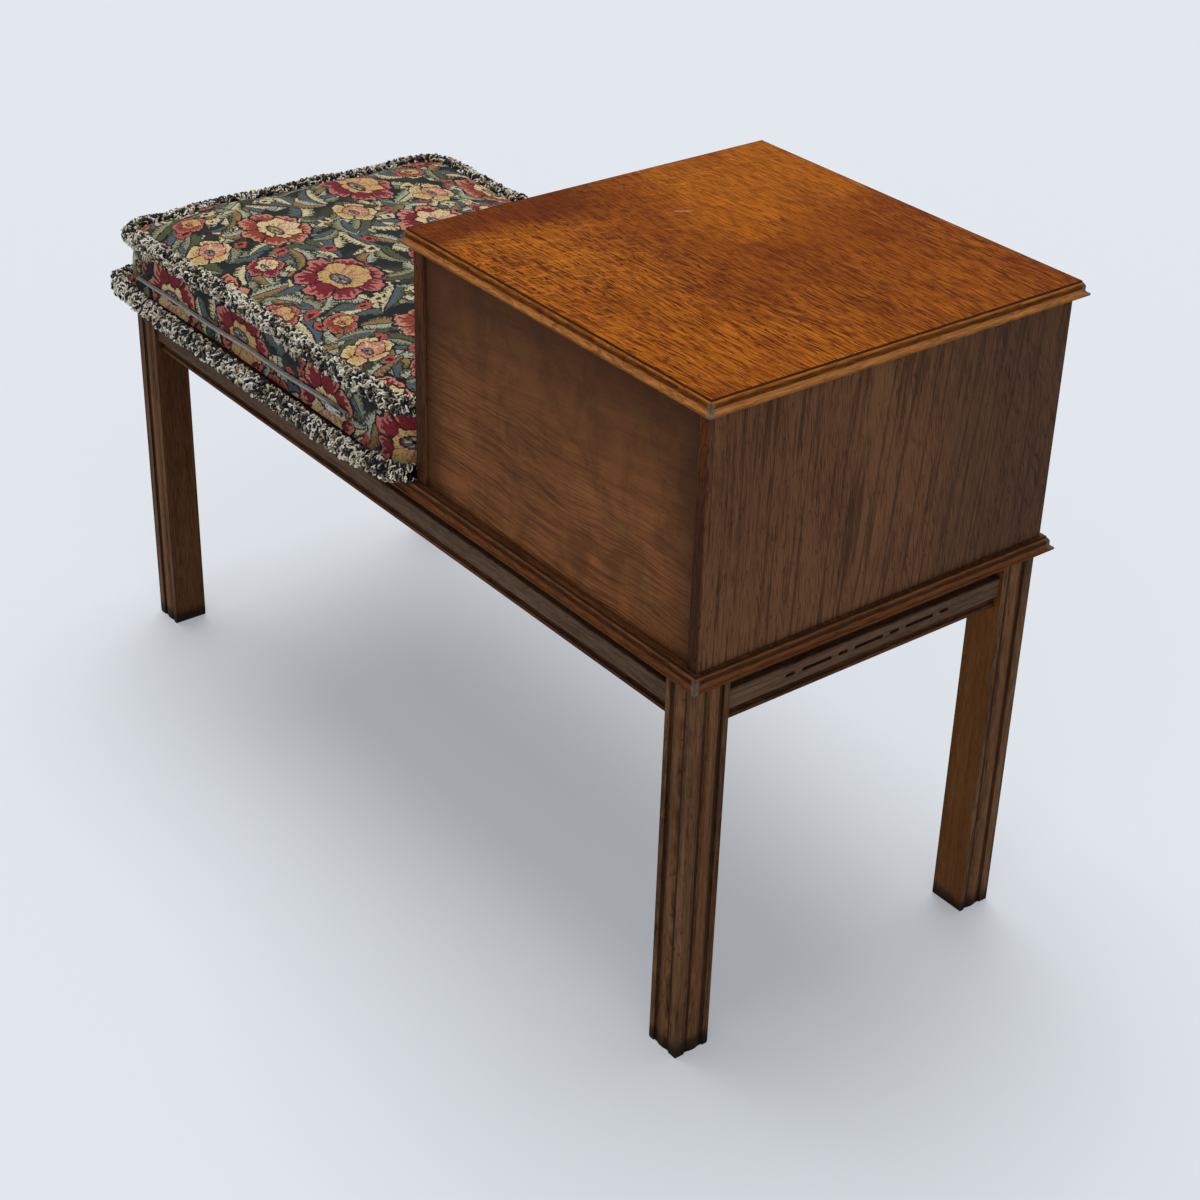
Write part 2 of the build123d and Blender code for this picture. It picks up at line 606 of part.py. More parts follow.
def handle_post(x):
    """A turned post: foot, stem and ball, with a stud through the front."""
    levels = [(0, POST_FOOT_RADIUS), (POST_FOOT_HEIGHT, POST_FOOT_RADIUS),
              (POST_FOOT_HEIGHT + POST_FOOT_TAPER, POST_STEM_RADIUS)]
    neck = -degrees(acos(POST_STEM_RADIUS / POST_BALL_RADIUS))
    for step in range(POST_BALL_TAPERS):
        turn = radians(neck + (90 - neck) * step / POST_BALL_TAPERS)
        levels.append((POST_REACH + POST_BALL_RADIUS * sin(turn), POST_BALL_RADIUS * cos(turn)))
    post = loft([Pos(0, 0, z) * RegularPolygon(radius, POST_SIDES) for z, radius in levels],
                ruled=True)
    stud = DRAWER_FRONT_THICKNESS + PLATE_THICKNESS + NUT_THICKNESS + STUD_BEYOND_NUT
    post += rod((0, 0, -stud), STUD_RADIUS, stud)
    body = Plane(origin=(x, PLATE_Y, HANDLE_Z), z_dir=(0, -1, 0)) * post
    depth = PIN_DEPTH + CUT_THROUGH
    rim = POST_BALL_RADIUS + CUT_THROUGH
    start = x + rim - depth if x > HANDLE_X else x - rim
    return body - rod((start, AXIS_Y, HANDLE_Z), PIN_RADIUS + PIN_CLEARANCE, depth, "X")


def handle_nut(x):
    """A square nut on the inside of the drawer front."""
    y = (FRONT_Y1, FRONT_Y1 + NUT_THICKNESS)
    body = block((x - NUT_RADIUS, x + NUT_RADIUS), y,
                 (HANDLE_Z - NUT_RADIUS, HANDLE_Z + NUT_RADIUS))
    return body - rod((x, FRONT_Y1, HANDLE_Z), STUD_RADIUS, NUT_THICKNESS, "Y")


def handle_bail():
    """Swan-neck bail, hanging from the two posts."""
    arm = POST_SPACING / 2 + POST_BALL_RADIUS + BAIL_POST_GAP
    knee = arm - BAIL_KNEE_IN
    inside = POST_SPACING / 2 + POST_BALL_RADIUS - PIN_DEPTH + PIN_CLEARANCE
    half = [(0, -BAIL_DROP), (knee, -BAIL_DROP), (arm, -BAIL_KNEE_DROP), (arm, 0)]
    points = [(-x, z) for x, z in reversed(half[1:])] + half[1:]
    path = FilletPolyline(*points, radius=BAIL_BEND)
    plane = Plane(origin=(HANDLE_X, AXIS_Y, HANDLE_Z), x_dir=(1, 0, 0), z_dir=(0, -1, 0))
    path = plane * path
    start = Plane(origin=path @ 0, z_dir=path % 0)
    body = sweep(start * RegularPolygon(BAIL_ROD_RADIUS, BAIL_ROD_SIDES), path=path)
    for side in (1, -1):
        eye_x = HANDLE_X + side * arm - BAIL_EYE_LENGTH / 2
        eye = rod((eye_x, AXIS_Y, HANDLE_Z), BAIL_EYE_RADIUS, BAIL_EYE_LENGTH, "X")
        ends = sorted((HANDLE_X + side * inside, HANDLE_X + side * arm))
        pin = rod((ends[0], AXIS_Y, HANDLE_Z), PIN_RADIUS, ends[1] - ends[0], "X")
        body = body + eye + pin
    return body


# ---------------------------------------------------------------- cushion
def pillow_outline(inset, z, drawn=1.0):
    """Rounded rectangle whose four sides are drawn in, as tangent arcs at height z.

    inset is how far it lies inside the foot fringe's centre line; drawn scales the
    sides' draw, so that a fuller level has straighter sides.
    """
    half_x = CUSHION_HALF_X - inset
    half_y = FOOT_Y - inset
    corner = max(CUSHION_CORNER - inset * CORNER_TIGHTENS, LEAST_CORNER)
    sag_y = max(DRAWN_IN_LONG * drawn, LEAST_DRAW)
    sag_x = max(DRAWN_IN_SHORT * drawn, LEAST_DRAW)
    long_radius = (half_x ** 2 + sag_y ** 2) / (2 * sag_y)
    short_radius = (half_y ** 2 + sag_x ** 2) / (2 * sag_x)
    long_centre = (0.0, half_y - sag_y + long_radius)
    short_centre = (half_x - sag_x + short_radius, 0.0)
    centre = circles_meet(long_centre, long_radius + corner, short_centre,
                          short_radius + corner)
    on_long = towards(centre, long_centre, corner)
    on_short = towards(centre, short_centre, corner)
    chord = ((on_long[0] + on_short[0]) / 2, (on_long[1] + on_short[1]) / 2)
    diagonal = towards(centre, chord, corner)

    def at(point, i, j):
        return CUSHION_X + i * point[0], j * point[1], z

    edges = []
    for j in (1, -1):
        middle = (0.0, half_y - sag_y)
        edges.append(ThreePointArc(at(on_long, -1, j), at(middle, 1, j), at(on_long, 1, j)))
    for i in (1, -1):
        middle = (half_x - sag_x, 0.0)
        edges.append(ThreePointArc(at(on_short, i, -1), at(middle, i, 1), at(on_short, i, 1)))
    for i in (1, -1):
        for j in (1, -1):
            edges.append(ThreePointArc(at(on_long, i, j), at(diagonal, i, j), at(on_short, i, j)))
    return Wire(edges)


def towards(start, end, distance):
    """The point a given distance from start on the way to end."""
    length = hypot(end[0] - start[0], end[1] - start[1])
    share = distance / length
    return start[0] + (end[0] - start[0]) * share, start[1] + (end[1] - start[1]) * share


def circles_meet(first, first_radius, second, second_radius):
    """Where two circles cross, on the side nearer to the origin."""
    across = (second[0] - first[0], second[1] - first[1])
    gap = hypot(*across)
    along = (gap ** 2 + first_radius ** 2 - second_radius ** 2) / (2 * gap)
    aside = sqrt(first_radius ** 2 - along ** 2)
    foot = towards(first, second, along)
    normal = (-across[1] / gap, across[0] / gap)
    places = [(foot[0] + s * aside * normal[0], foot[1] + s * aside * normal[1]) for s in (1, -1)]
    return min(places, key=lambda place: hypot(*place))


def pad():
    """The padded cushion: flat foot, drawn-in boxing and a crowned top."""
    low = BASE_TOP + SOFT_GAP
    quarter = (HEAD_LINE_Z - FOOT_LINE_Z) / 4
    tuck = WALL_INSET + BOXING_TUCK
    levels = [
        (low, WALL_INSET + FOOT_TUCK, 1.0),
        (low + FOOT_ROUND, WALL_INSET + FOOT_TUCK / 3, 1.0),
        (FOOT_LINE_Z + SEAM_BAND, WALL_INSET, 1.0),
        (FOOT_LINE_Z + quarter, WALL_INSET, 0.0),
        (HEAD_LINE_Z - quarter, WALL_INSET, 0.0),
        (HEAD_LINE_Z - SEAM_BAND, tuck, 1.0),
    ]
    for step in range(CROWN_STEPS + 1):
        turn = radians(90 * step / CROWN_STEPS)
        rise = SEAM_BAND + (CROWN_HEIGHT - SEAM_BAND) * sin(turn)
        inset = WALL_INSET + SEAM_TUCK + CROWN_RUN * (1 - cos(turn))
        levels.append((HEAD_LINE_Z + rise, inset, cos(turn)))
    outlines = [pillow_outline(inset, z, drawn) for z, inset, drawn in levels]
    return loft([make_face(outline) for outline in outlines], ruled=True)


def fringe(inset, z, radius):
    """A thick fringe along one seam of the cushion, as a tube with FRINGE_SIDES sides."""
    path = pillow_outline(inset, z)
    start = Plane(origin=path @ 0, z_dir=path % 0)
    return sweep(start * RegularPolygon(radius, FRINGE_SIDES), path=path)


def on_zip(piece):
    """Place a piece drawn along +X from the zip's closed end, on the back of the boxing."""
    return Pos(ZIP_START, ZIP_Y, ZIP_Z) * Rot(0, ZIP_TILT, 0) * piece


def zip_tape():
    """Straight tape with the raised chain of teeth along its middle."""
    half = ZIP_TAPE_WIDTH / 2
    chain = ZIP_CHAIN_WIDTH / 2
    crest = chain - ZIP_CHAIN_BEVEL
    thick = ZIP_TAPE_THICKNESS
    back = -SOFT_GAP
    points = [(back, -half), (thick, -half), (thick, -chain), (ZIP_FACE, -crest),
              (ZIP_FACE, crest), (thick, chain), (thick, half), (back, half)]
    return on_zip(prism(points, Plane.YZ, ZIP_LENGTH))


def zip_slider():
    """Slider over the chain, with the bridge that carries the pull."""
    low = ZIP_TAPE_THICKNESS + SLIDER_GAP
    under = ZIP_FACE + SLIDER_GAP
    top = under + SLIDER_PLATE
    half = SLIDER_WIDTH / 2
    crest = half - SLIDER_BEVEL
    inner = ZIP_CHAIN_WIDTH / 2 + SLIDER_GAP
    points = [(low, -half), (top, -crest), (top, crest), (low, half), (low, inner),
              (under, inner), (under, -inner), (low, -inner)]
    body = prism(points, Plane.YZ, SLIDER_LENGTH)
    bar = SLIDER_BRIDGE_BAR
    ends = (SLIDER_BRIDGE_INSET, SLIDER_LENGTH - SLIDER_BRIDGE_INSET)
    arch = block(ends, (top, top + SLIDER_BRIDGE + bar), (-bar / 2, bar / 2))
    window = block((ends[0] + bar, ends[1] - bar), (top, top + SLIDER_BRIDGE), (-bar, bar))
    return on_zip(body + (arch - window))


def zip_pull():
    """The flat pull: a pin through the bridge's window, two arms and a tab over the chain."""
    centre = SLIDER_LENGTH / 2
    half = PULL_WIDTH / 2
    inner = SLIDER_BRIDGE_BAR / 2 + PULL_EYE_GAP
    thick = (PIN_OUT - PULL_THICKNESS / 2, PIN_OUT + PULL_THICKNESS / 2)
    tab_start = centre + PULL_ARM
    pin = rod((centre, PIN_OUT, -half), PULL_PIN_RADIUS, PULL_WIDTH)
    arms = [block((centre, tab_start), thick, z) for z in ((-half, -inner), (inner, half))]
    end = centre + PULL_LENGTH - half
    outline = Pos(tab_start, 0) * Rectangle(end - tab_start, PULL_WIDTH,
                                            align=(Align.MIN, Align.CENTER))
    outline += Pos(end, 0) * Circle(half)
    outline -= Pos(end, 0) * Circle(PULL_HOLE_RADIUS)
    face = Plane(origin=(0, thick[1], 0), x_dir=(1, 0, 0), z_dir=(0, -1, 0))
    tab = extrude(face * outline, PULL_THICKNESS)
    return on_zip(pin + arms + tab)


def build():
    """Make every node and write it."""
    os.makedirs(PARTS, exist_ok=True)
    end_turn = Pos(-HALF_LENGTH, 0, 0) * Rot(0, 0, 90)
    seat_turn = Pos(HALF_LENGTH, 0, 0) * Rot(0, 0, -90)
    back_turn = Pos(0, HALF_DEPTH, 0)
    front_turn = Pos(0, -HALF_DEPTH, 0) * Rot(0, 0, 180)
    long_span = STAND_LENGTH - 2 * LEG_WIDTH
    short_span = STAND_DEPTH - 2 * LEG_WIDTH

    names = ("leg_cabinet_back", "leg_seat_back", "leg_cabinet_front", "leg_seat_front")
    for name, piece in zip(names, four_corners(leg())):
        write(name, piece)
    write("rail_back", back_turn * rail(long_span))
    write("rail_front", front_turn * rail(long_span))
    write("rail_cabinet_end", end_turn * rail(short_span))
    write("rail_seat_end", seat_turn * rail(short_span))
    write("strip_back", back_turn * strip(long_span, False))
    write("strip_front", front_turn * strip(long_span, True))
    write("strip_cabinet_end", end_turn * strip(short_span, True))
    write("strip_seat_end", seat_turn * strip(short_span, True))
    write("corner_blocks", *four_corners(corner_block()))
    grip = LEG_HEIGHT - BLOCK_HEIGHT
    write("block_screws", *[screw(x, y, grip, BLOCK_HEIGHT) for x, y in screw_places()])
    write("base_board", base_board())

    write("cabinet_end_side", cabinet_side(CABINET_X0, 1))
    write("cabinet_seat_side", cabinet_side(CABINET_X1 - SIDE_THICKNESS, -1))
    write("cabinet_back", back_panel())
    write("cabinet_shelf", shelf())
    write("cabinet_front_rail", front_rail())
    write("cabinet_dowels", *[dowel(place) for place in dowel_places()])
    write("top_battens", *battens())
    write("top_screws", *[screw(x, y, DRAWER_Z1, FRONT_RAIL_HEIGHT)
                          for x, y in batten_screws()])
    write("top_board", top_board())
    write("drawer_stops", *drawer_stops())

    write("drawer_front", drawer_front())
    write("drawer_side_end", drawer_wall(DRAWER_X0))
    write("drawer_side_seat", drawer_wall(DRAWER_X1 - DRAWER_WALL))
    write("drawer_back", drawer_back())
    write("drawer_bottom", drawer_bottom())
    write("handle_plate", handle_plate())
    write("handle_posts", *[handle_post(x) for x in POST_X])
    write("handle_nuts", *[handle_nut(x) for x in POST_X])
    write("handle_bail", handle_bail())

    write("cushion_pad", pad())
    write("fringe_foot", fringe(0.0, FOOT_LINE_Z, FOOT_FRINGE_RADIUS))
    write("fringe_head", fringe(FRINGE_HEAD_INSET, HEAD_LINE_Z, HEAD_FRINGE_RADIUS))
    write("zip_tape", zip_tape())
    write("zip_slider", zip_slider())
    write("zip_pull", zip_pull())


build()
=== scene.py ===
"""Telephone bench: woods, cushion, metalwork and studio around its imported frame."""
import logging
import math
from dataclasses import dataclass, replace
from enum import Enum
from typing import Any, Callable, Iterable, Optional, Sequence, Union

import bmesh
import bpy
import numpy as np
from mathutils import Matrix, Vector


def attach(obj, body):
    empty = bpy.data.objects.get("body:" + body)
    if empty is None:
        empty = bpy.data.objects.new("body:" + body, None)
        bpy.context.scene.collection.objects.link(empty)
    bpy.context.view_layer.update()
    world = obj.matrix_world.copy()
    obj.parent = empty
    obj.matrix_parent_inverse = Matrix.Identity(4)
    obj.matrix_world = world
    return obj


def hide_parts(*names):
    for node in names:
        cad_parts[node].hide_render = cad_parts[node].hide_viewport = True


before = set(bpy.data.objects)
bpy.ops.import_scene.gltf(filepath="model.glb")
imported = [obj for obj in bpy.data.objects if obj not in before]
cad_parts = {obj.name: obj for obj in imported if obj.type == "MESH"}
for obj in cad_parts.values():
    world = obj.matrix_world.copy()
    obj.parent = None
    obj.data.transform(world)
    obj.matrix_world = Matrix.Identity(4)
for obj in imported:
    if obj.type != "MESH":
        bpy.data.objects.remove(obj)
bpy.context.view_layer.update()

LOG = logging.getLogger("telephone_bench")
# A full turn in radians, and a length past any that is measured.
TURN = 6.2832
FAR = 9.0
# The moulded boards: thickness, the seat board's half sides and top, width of the rim.
BOARD_THICK = 0.012
BOARD_HALF = (0.46135, 0.19885)
BOARD_TOP = 0.3886
RIM = 0.0056

Colour = tuple[float, float, float, float]
Value = Union[float, int, str, Sequence[float], bpy.types.NodeSocket, bpy.types.Node, "Field"]


def paint(red: float, green: float, blue: float) -> Colour:
    """Turn a colour read in 0 to 255 into the linear one that a socket takes.

    Args:
        red: Red, 0 to 255.
        green: Green, 0 to 255.
        blue: Blue, 0 to 255.

    Returns:
        Linear red, green, blue and an alpha of 1.
    """
    def linear(value: float) -> float:
        """One channel."""
        share = value / 255
        return share / 12.92 if share <= 0.04045 else ((share + 0.055) / 1.055) ** 2.4
    return linear(red), linear(green), linear(blue), 1.0


def dimmed(colour: Colour, share: float) -> Colour:
    """A colour times a share, as opaque as before."""
    return tuple(share * value for value in colour[:3]) + (1.0,)


# ------------------------------------------------------------------ node trees
class Field:
    """A socket's value in a sum, whose operators add Math nodes to its tree."""

    def __init__(self, graph: "Graph", socket: bpy.types.NodeSocket) -> None:
        """Keep the socket and the graph that it lies in."""
        self.graph = graph
        self.socket = socket

    def __add__(self, other: Value) -> "Field":
        """This and the other."""
        return self.graph.math("ADD", self, other)

    def __radd__(self, other: Value) -> "Field":
        """The other and this."""
        return self.graph.math("ADD", other, self)

    def __sub__(self, other: Value) -> "Field":
        """This less the other."""
        return self.graph.math("SUBTRACT", self, other)

    def __rsub__(self, other: Value) -> "Field":
        """The other less this."""
        return self.graph.math("SUBTRACT", other, self)

    def __mul__(self, other: Value) -> "Field":
        """This times the other."""
        return self.graph.math("MULTIPLY", self, other)

    def __rmul__(self, other: Value) -> "Field":
        """The other times this."""
        return self.graph.math("MULTIPLY", other, self)

    def __truediv__(self, other: Value) -> "Field":
        """This over the other."""
        return self.graph.math("DIVIDE", self, other)

    def __lt__(self, other: Value) -> "Field":
        """1 where this is under the other, else 0."""
        return self.graph.math("LESS_THAN", self, other)

    def __gt__(self, other: Value) -> "Field":
        """1 where this is over the other, else 0."""
        return self.graph.math("GREATER_THAN", self, other)

    def __abs__(self) -> "Field":
        """This without its sign."""
        return self.graph.math("ABSOLUTE", self)


class Graph:
    """Short calls that add and link the nodes of one tree."""

    def __init__(self, tree: bpy.types.NodeTree) -> None:
        """Keep the tree that the nodes go into."""
        self.tree = tree

    def add(self, kind: str, **settings: Any) -> bpy.types.Node:
        """Add a node.

        Args:
            kind: The node's type name.
            **settings: Values for the node's own properties.

        Returns:
            The node.
        """
        node = self.tree.nodes.new(kind)
        for name, value in settings.items():
            setattr(node, name, value)
        return node

    def feed(self, socket: bpy.types.NodeSocket, value: Optional[Value]) -> None:
        """Link a value into a socket, or set the socket's own.

        Args:
            socket: The socket.
            value: A value, a socket or a node that stands for its first output.
        """
        if isinstance(value, Field):
            value = value.socket
        elif isinstance(value, bpy.types.Node):
            value = value.outputs[0]
        if isinstance(value, bpy.types.NodeSocket):
            self.tree.links.new(value, socket)
        elif value is not None:
            socket.default_value = value

    def put(self, node: bpy.types.Node, **values: Value) -> bpy.types.Node:
        """Feed inputs by name, an underscore standing for a space.

        Args:
            node: The node whose inputs are fed.
            **values: A value or socket for each input.

        Returns:
            The same node.
        """
        for name, value in values.items():
            self.feed(node.inputs[name.replace("_", " ")], value)
        return node

    def fill(self, node: bpy.types.Node, *values: Value,
             at: Sequence[int] = (0, 1, 2, 3, 4)) -> bpy.types.Node:
        """Feed inputs by their places.

        Args:
            node: The node whose inputs are fed.
            *values: A value or socket for each of them.
            at: Their places.

        Returns:
            The same node.
        """
        for index, value in zip(at, values):
            self.feed(node.inputs[index], value)
        return node

    def out(self, node: bpy.types.Node, which: Union[int, str] = 0) -> Field:
        """One of a node's outputs."""
        return Field(self, node.outputs[which])

    def math(self, operation: str, *values: Value, clamp: bool = False) -> Field:
        """A Math node's result."""
        node = self.add("ShaderNodeMath", operation=operation, use_clamp=clamp)
        return self.out(self.fill(node, *values))

    def vector(self, operation: str, *values: Value) -> Field:
        """A Vector Math node's result, a number for lengths and products."""
        node = self.add("ShaderNodeVectorMath", operation=operation)
        self.fill(node, *values, at=(0, 3) if operation == "SCALE" else (0, 1, 2))
        return self.out(node, "Value" if operation in {"LENGTH", "DOT_PRODUCT"} else "Vector")

    def blend(self, share: Value, first: Value, second: Value, mode: str = "MIX") -> Field:
        """Mix two colours.

        Args:
            share: How much of the second shows.
            first: Colour at share 0.
            second: Colour at share 1.
            mode: The Mix node's blend type.

        Returns:
            The mixed colour.
        """
        node = self.add("ShaderNodeMix", data_type="RGBA", blend_type=mode)
        return self.out(self.fill(node, share, first, second, at=(0, 6, 7)), 2)

    def shade(self, colour: Value, by: Value) -> Field:
        """A colour times a number."""
        return self.blend(1.0, colour, self.even(by), "MULTIPLY")

    def pick(self, share: Value, first: Value, second: Value) -> Field:
        """The first vector at share 0, the second at share 1."""
        node = self.add("ShaderNodeMix", data_type="VECTOR")
        return self.out(self.fill(node, share, first, second, at=(0, 4, 5)), 1)

    def span(self, value: Value, low: Value, high: Value, to_low: Value = 0.0,
             to_high: Value = 1.0, smooth: bool = True) -> Field:
        """Map a range of a value onto another, clamped at its ends.

        Args:
            value: What is mapped.
            low: Start of the range.
            high: End of the range.
            to_low: Result at the start.
            to_high: Result at the end.
            smooth: Eased at both ends, or straight.

        Returns:
            The mapped value.
        """
        node = self.add("ShaderNodeMapRange",
                        interpolation_type="SMOOTHSTEP" if smooth else "LINEAR")
        return self.out(self.fill(node, value, low, high, to_low, to_high))

    def ramp(self, value: Value, stops: Sequence[tuple[float, Colour]],
             mode: str = "LINEAR") -> Field:
        """A colour ramp.

        Args:
            value: Place along the ramp, 0 to 1.
            stops: Place and colour of each stop, in order.
            mode: The ramp's interpolation.

        Returns:
            The colour.
        """
        node = self.add("ShaderNodeValToRGB")
        node.color_ramp.interpolation = mode
        points = node.color_ramp.elements
        while len(points) < len(stops):
            points.new(0.5)
        for point, (place, colour) in zip(points, stops):
            point.position = place
            point.color = colour
        return self.out(self.fill(node, value))

    def noise(self, vector: Value, scale: float = 1.0, detail: float = 2.0, rough: float = 0.5,
              twist: float = 0.0, flat: bool = False) -> Field:
        """A noise value around one half."""
        node = self.add("ShaderNodeTexNoise", noise_dimensions="2D" if flat else "3D")
        self.put(node, Vector=vector, Scale=scale, Detail=detail, Roughness=rough,
                 Distortion=twist)
        return self.out(node)

    def cells(self, vector: Value, scale: float, stray: float = 1.0,
              flat: bool = False) -> bpy.types.Node:
        """A Voronoi node with its cells scattered by stray."""
        node = self.add("ShaderNodeTexVoronoi", voronoi_dimensions="2D" if flat else "3D")
        return self.put(node, Vector=vector, Scale=scale, Randomness=stray)

    def split(self, vector: Value) -> tuple[Field, ...]:
        """The three numbers of a vector."""
        node = self.fill(self.add("ShaderNodeSeparateXYZ"), vector)
        return tuple(Field(self, socket) for socket in node.outputs)

    def join(self, x: Value, y: Value, z: Value = 0.0) -> Field:
        """A vector from three numbers."""
        return self.out(self.fill(self.add("ShaderNodeCombineXYZ"), x, y, z))

    def even(self, value: Value) -> Field:
        """A vector or grey of one number three times."""
        return self.join(value, value, value)

    def place(self) -> Field:
        """Object coordinates, which are the frame's own metres."""
        return self.out(self.add("ShaderNodeTexCoord"), "Object")

    def facing(self) -> Field:
        """The face's own normal."""
        return self.out(self.add("ShaderNodeNewGeometry"), "True Normal")

    def bump(self, strength: float, distance: float, height: Value,
             normal: Optional[Value] = None) -> Field:
        """A normal raised by a height, distance being what a height of 1 stands for."""
        return self.out(self.put(self.add("ShaderNodeBump"), Strength=strength,
                                 Distance=distance, Height=height, Normal=normal))

    def mix_shader(self, share: Value, first: Value, second: Value) -> Field:
        """The first shader at share 0, the second at share 1."""
        return self.out(self.fill(self.add("ShaderNodeMixShader"), share, first, second))

    def use(self, tree: bpy.types.NodeTree, **values: Value) -> dict[str, Field]:
        """Place a node group with its own values.

        Args:
            tree: The group.
            **values: A value or socket for each input.

        Returns:
            The group's outputs by name.
        """
        node = self.put(self.add("ShaderNodeGroup", node_tree=tree), **values)
        return {socket.name: Field(self, socket) for socket in node.outputs}


class Kind(Enum):
    """What a group's socket carries."""

    NUMBER = "NodeSocketFloat"
    VECTOR = "NodeSocketVector"
    COLOUR = "NodeSocketColor"
    COUNT = "NodeSocketInt"
    SHAPE = "NodeSocketGeometry"
    FINISH = "NodeSocketMaterial"


def new_group(name: str, takes: Sequence[tuple[str, Kind, Any]],
              gives: Sequence[tuple[str, Kind]], shader: bool = True,
              ) -> tuple[Graph, dict[str, Field], bpy.types.Node]:
    """Start a node group with named inputs and outputs.

    Args:
        name: The group's name.
        takes: Name, kind and default of each input.
        gives: Name and kind of each output.
        shader: A shader group, or else a geometry one.

    Returns:
        The graph, its input sockets by name, and the output node.
    """
    kind = "ShaderNodeTree" if shader else "GeometryNodeTree"
    tree = bpy.data.node_groups.new(name, kind)
    for label, what, default in takes:
        socket = tree.interface.new_socket(label, in_out="INPUT", socket_type=what.value)
        if default is not None:
            socket.default_value = default
    for label, what in gives:
        tree.interface.new_socket(label, in_out="OUTPUT", socket_type=what.value)
    graph = Graph(tree)
    start = graph.add("NodeGroupInput")
    end = graph.add("NodeGroupOutput")
    given = {socket.name: Field(graph, socket) for socket in start.outputs if socket.name}
    return graph, given, end


# ------------------------------------------------------------- shared effects
class Effects:
    """The shader groups that several finishes share."""

    def __init__(self) -> None:
        """Build each group once."""
        self.oak = self.oak_grain()
        self.arris = self.arris_wear()
        self.board = self.board_mitres()
        self.weave = self.thread_weave()
        self.leaf = self.woven_leaf()
        self.bloom = self.woven_bloom()

    @staticmethod
    def oak_grain() -> bpy.types.NodeTree:
        """Oak sawn from a log: rings, dashes, open pores and ray flecks, grain along X.

        Returns:
            The group.
        """
        g, take, end = new_group("oak_grain", [
            ("Vector", Kind.VECTOR, None), ("Pith Y", Kind.NUMBER, -0.6),
            ("Pith Depth", Kind.NUMBER, 0.05), ("Slope", Kind.NUMBER, 0.0),
            ("Rings", Kind.NUMBER, 160.0), ("Waver", Kind.NUMBER, 0.004),
            ("Ray Turn", Kind.NUMBER, 0.0)],
            [("Ring", Kind.NUMBER), ("Dash", Kind.NUMBER), ("Streak", Kind.NUMBER),
             ("Pore", Kind.NUMBER), ("Fleck", Kind.NUMBER), ("Blotch", Kind.NUMBER),
             ("Height", Kind.NUMBER)])
        x, y, z = g.split(take["Vector"])
        along = g.join(x * 3.0, y * 9.0, z * 9.0)
        drift = g.noise(along, 1.0, 2.0) - 0.5
        near = g.noise(take["Vector"], 38.0, 1.0) - 0.5
        waver = take["Waver"] * (drift * 4.0 + near * 0.5)
        across = y - take["Pith Y"] + waver
        depth = z + take["Pith Depth"] + x * take["Slope"]
        radius = g.math("SQRT", across * across + depth * depth)
        ring_at = radius * take["Rings"]
        ring = g.noise(g.join(ring_at, x * 2.6), 1.0, 3.0, 0.62, flat=True)
        fine = g.noise(g.join(radius * 1450.0, x * 56.0, z * 520.0), 1.0, 1.0, 0.5)
        vein = g.noise(g.join(radius * 480.0, x * 26.0, z * 170.0), 1.0, 1.0, 0.5)
        vein = g.span(abs(vein - 0.5), 0.03, 0.0, 0.0, 0.7)
        dash = g.span(fine, 0.28, 0.72, 0.1, 1.15, smooth=False) - vein
        streak = g.noise(g.join(radius * 420.0, x * 13.0, z * 160.0), 1.0, 2.0, 0.6)
        stretched = g.join(x * 62.0, across * 760.0, z * 760.0)
        spot = g.cells(stretched, 1.0).outputs["Distance"]
        pore = g.span(spot, 0.34, 0.14) * g.span(ring, 0.62, 0.42)
        swirl = (g.noise(take["Vector"], 55.0, 2.0) - 0.5) * 5.0
        leant = g.put(g.add("ShaderNodeVectorRotate", rotation_type="Z_AXIS"),
                      Vector=g.join(x, across, z), Angle=take["Ray Turn"])
        lean = g.vector("ADD", g.vector("MULTIPLY", leant, (105.0, 430.0, 120.0)),
                        g.join(swirl, swirl * 1.4))
        ray = g.noise(lean, 1.0, 2.0, 0.55, 0.3)
        fleck = g.span(ray, 0.52, 0.68)
        blotch = g.noise(along, 1.6, 3.0, 0.55, 0.4)
        height = dash * 0.5 - pore
        g.put(end, Ring=ring, Dash=dash, Streak=g.span(streak, 0.56, 0.7), Pore=pore,
              Fleck=fleck, Blotch=blotch, Height=height)
        return g.tree

    @staticmethod
    def arris_wear() -> bpy.types.NodeTree:
        """Worn outer arrises, and dirt with painted shade darkening the corners and recesses, with
        softened normals.

        Returns:
            The group.
        """
        g, take, end = new_group("arris_wear", [
            ("Vector", Kind.VECTOR, None), ("Width", Kind.NUMBER, 0.0012),
            ("Dirt Reach", Kind.NUMBER, 0.008)],
            [("Worn", Kind.NUMBER), ("Dirt", Kind.NUMBER), ("Normal", Kind.VECTOR)])
        soft = g.put(g.add("ShaderNodeBevel", samples=4), Radius=take["Width"])
        true = g.facing()
        turn = 1.0 - g.vector("DOT_PRODUCT", soft, true)
        around = g.put(g.add("ShaderNodeAmbientOcclusion", samples=4),
                       Distance=take["Dirt Reach"]).outputs["AO"]
        broken = g.noise(take["Vector"], 90.0, 3.0, 0.65)
        wear_and_shade = g.span(turn, 0.015, 0.12) * g.span(around, 0.72, 0.95)
        wear_and_shade = wear_and_shade * g.span(broken, 0.38, 0.62)
        # Dirt and painted shade: darker where ambient occlusion finds a corner or recess.
        dirt_shade = g.span(around, 0.85, 0.3) * g.span(broken, 0.2, 0.6, 0.6, 1.0)
        g.put(end, Worn=wear_and_shade, Dirt=dirt_shade, Normal=soft)
        return g.tree

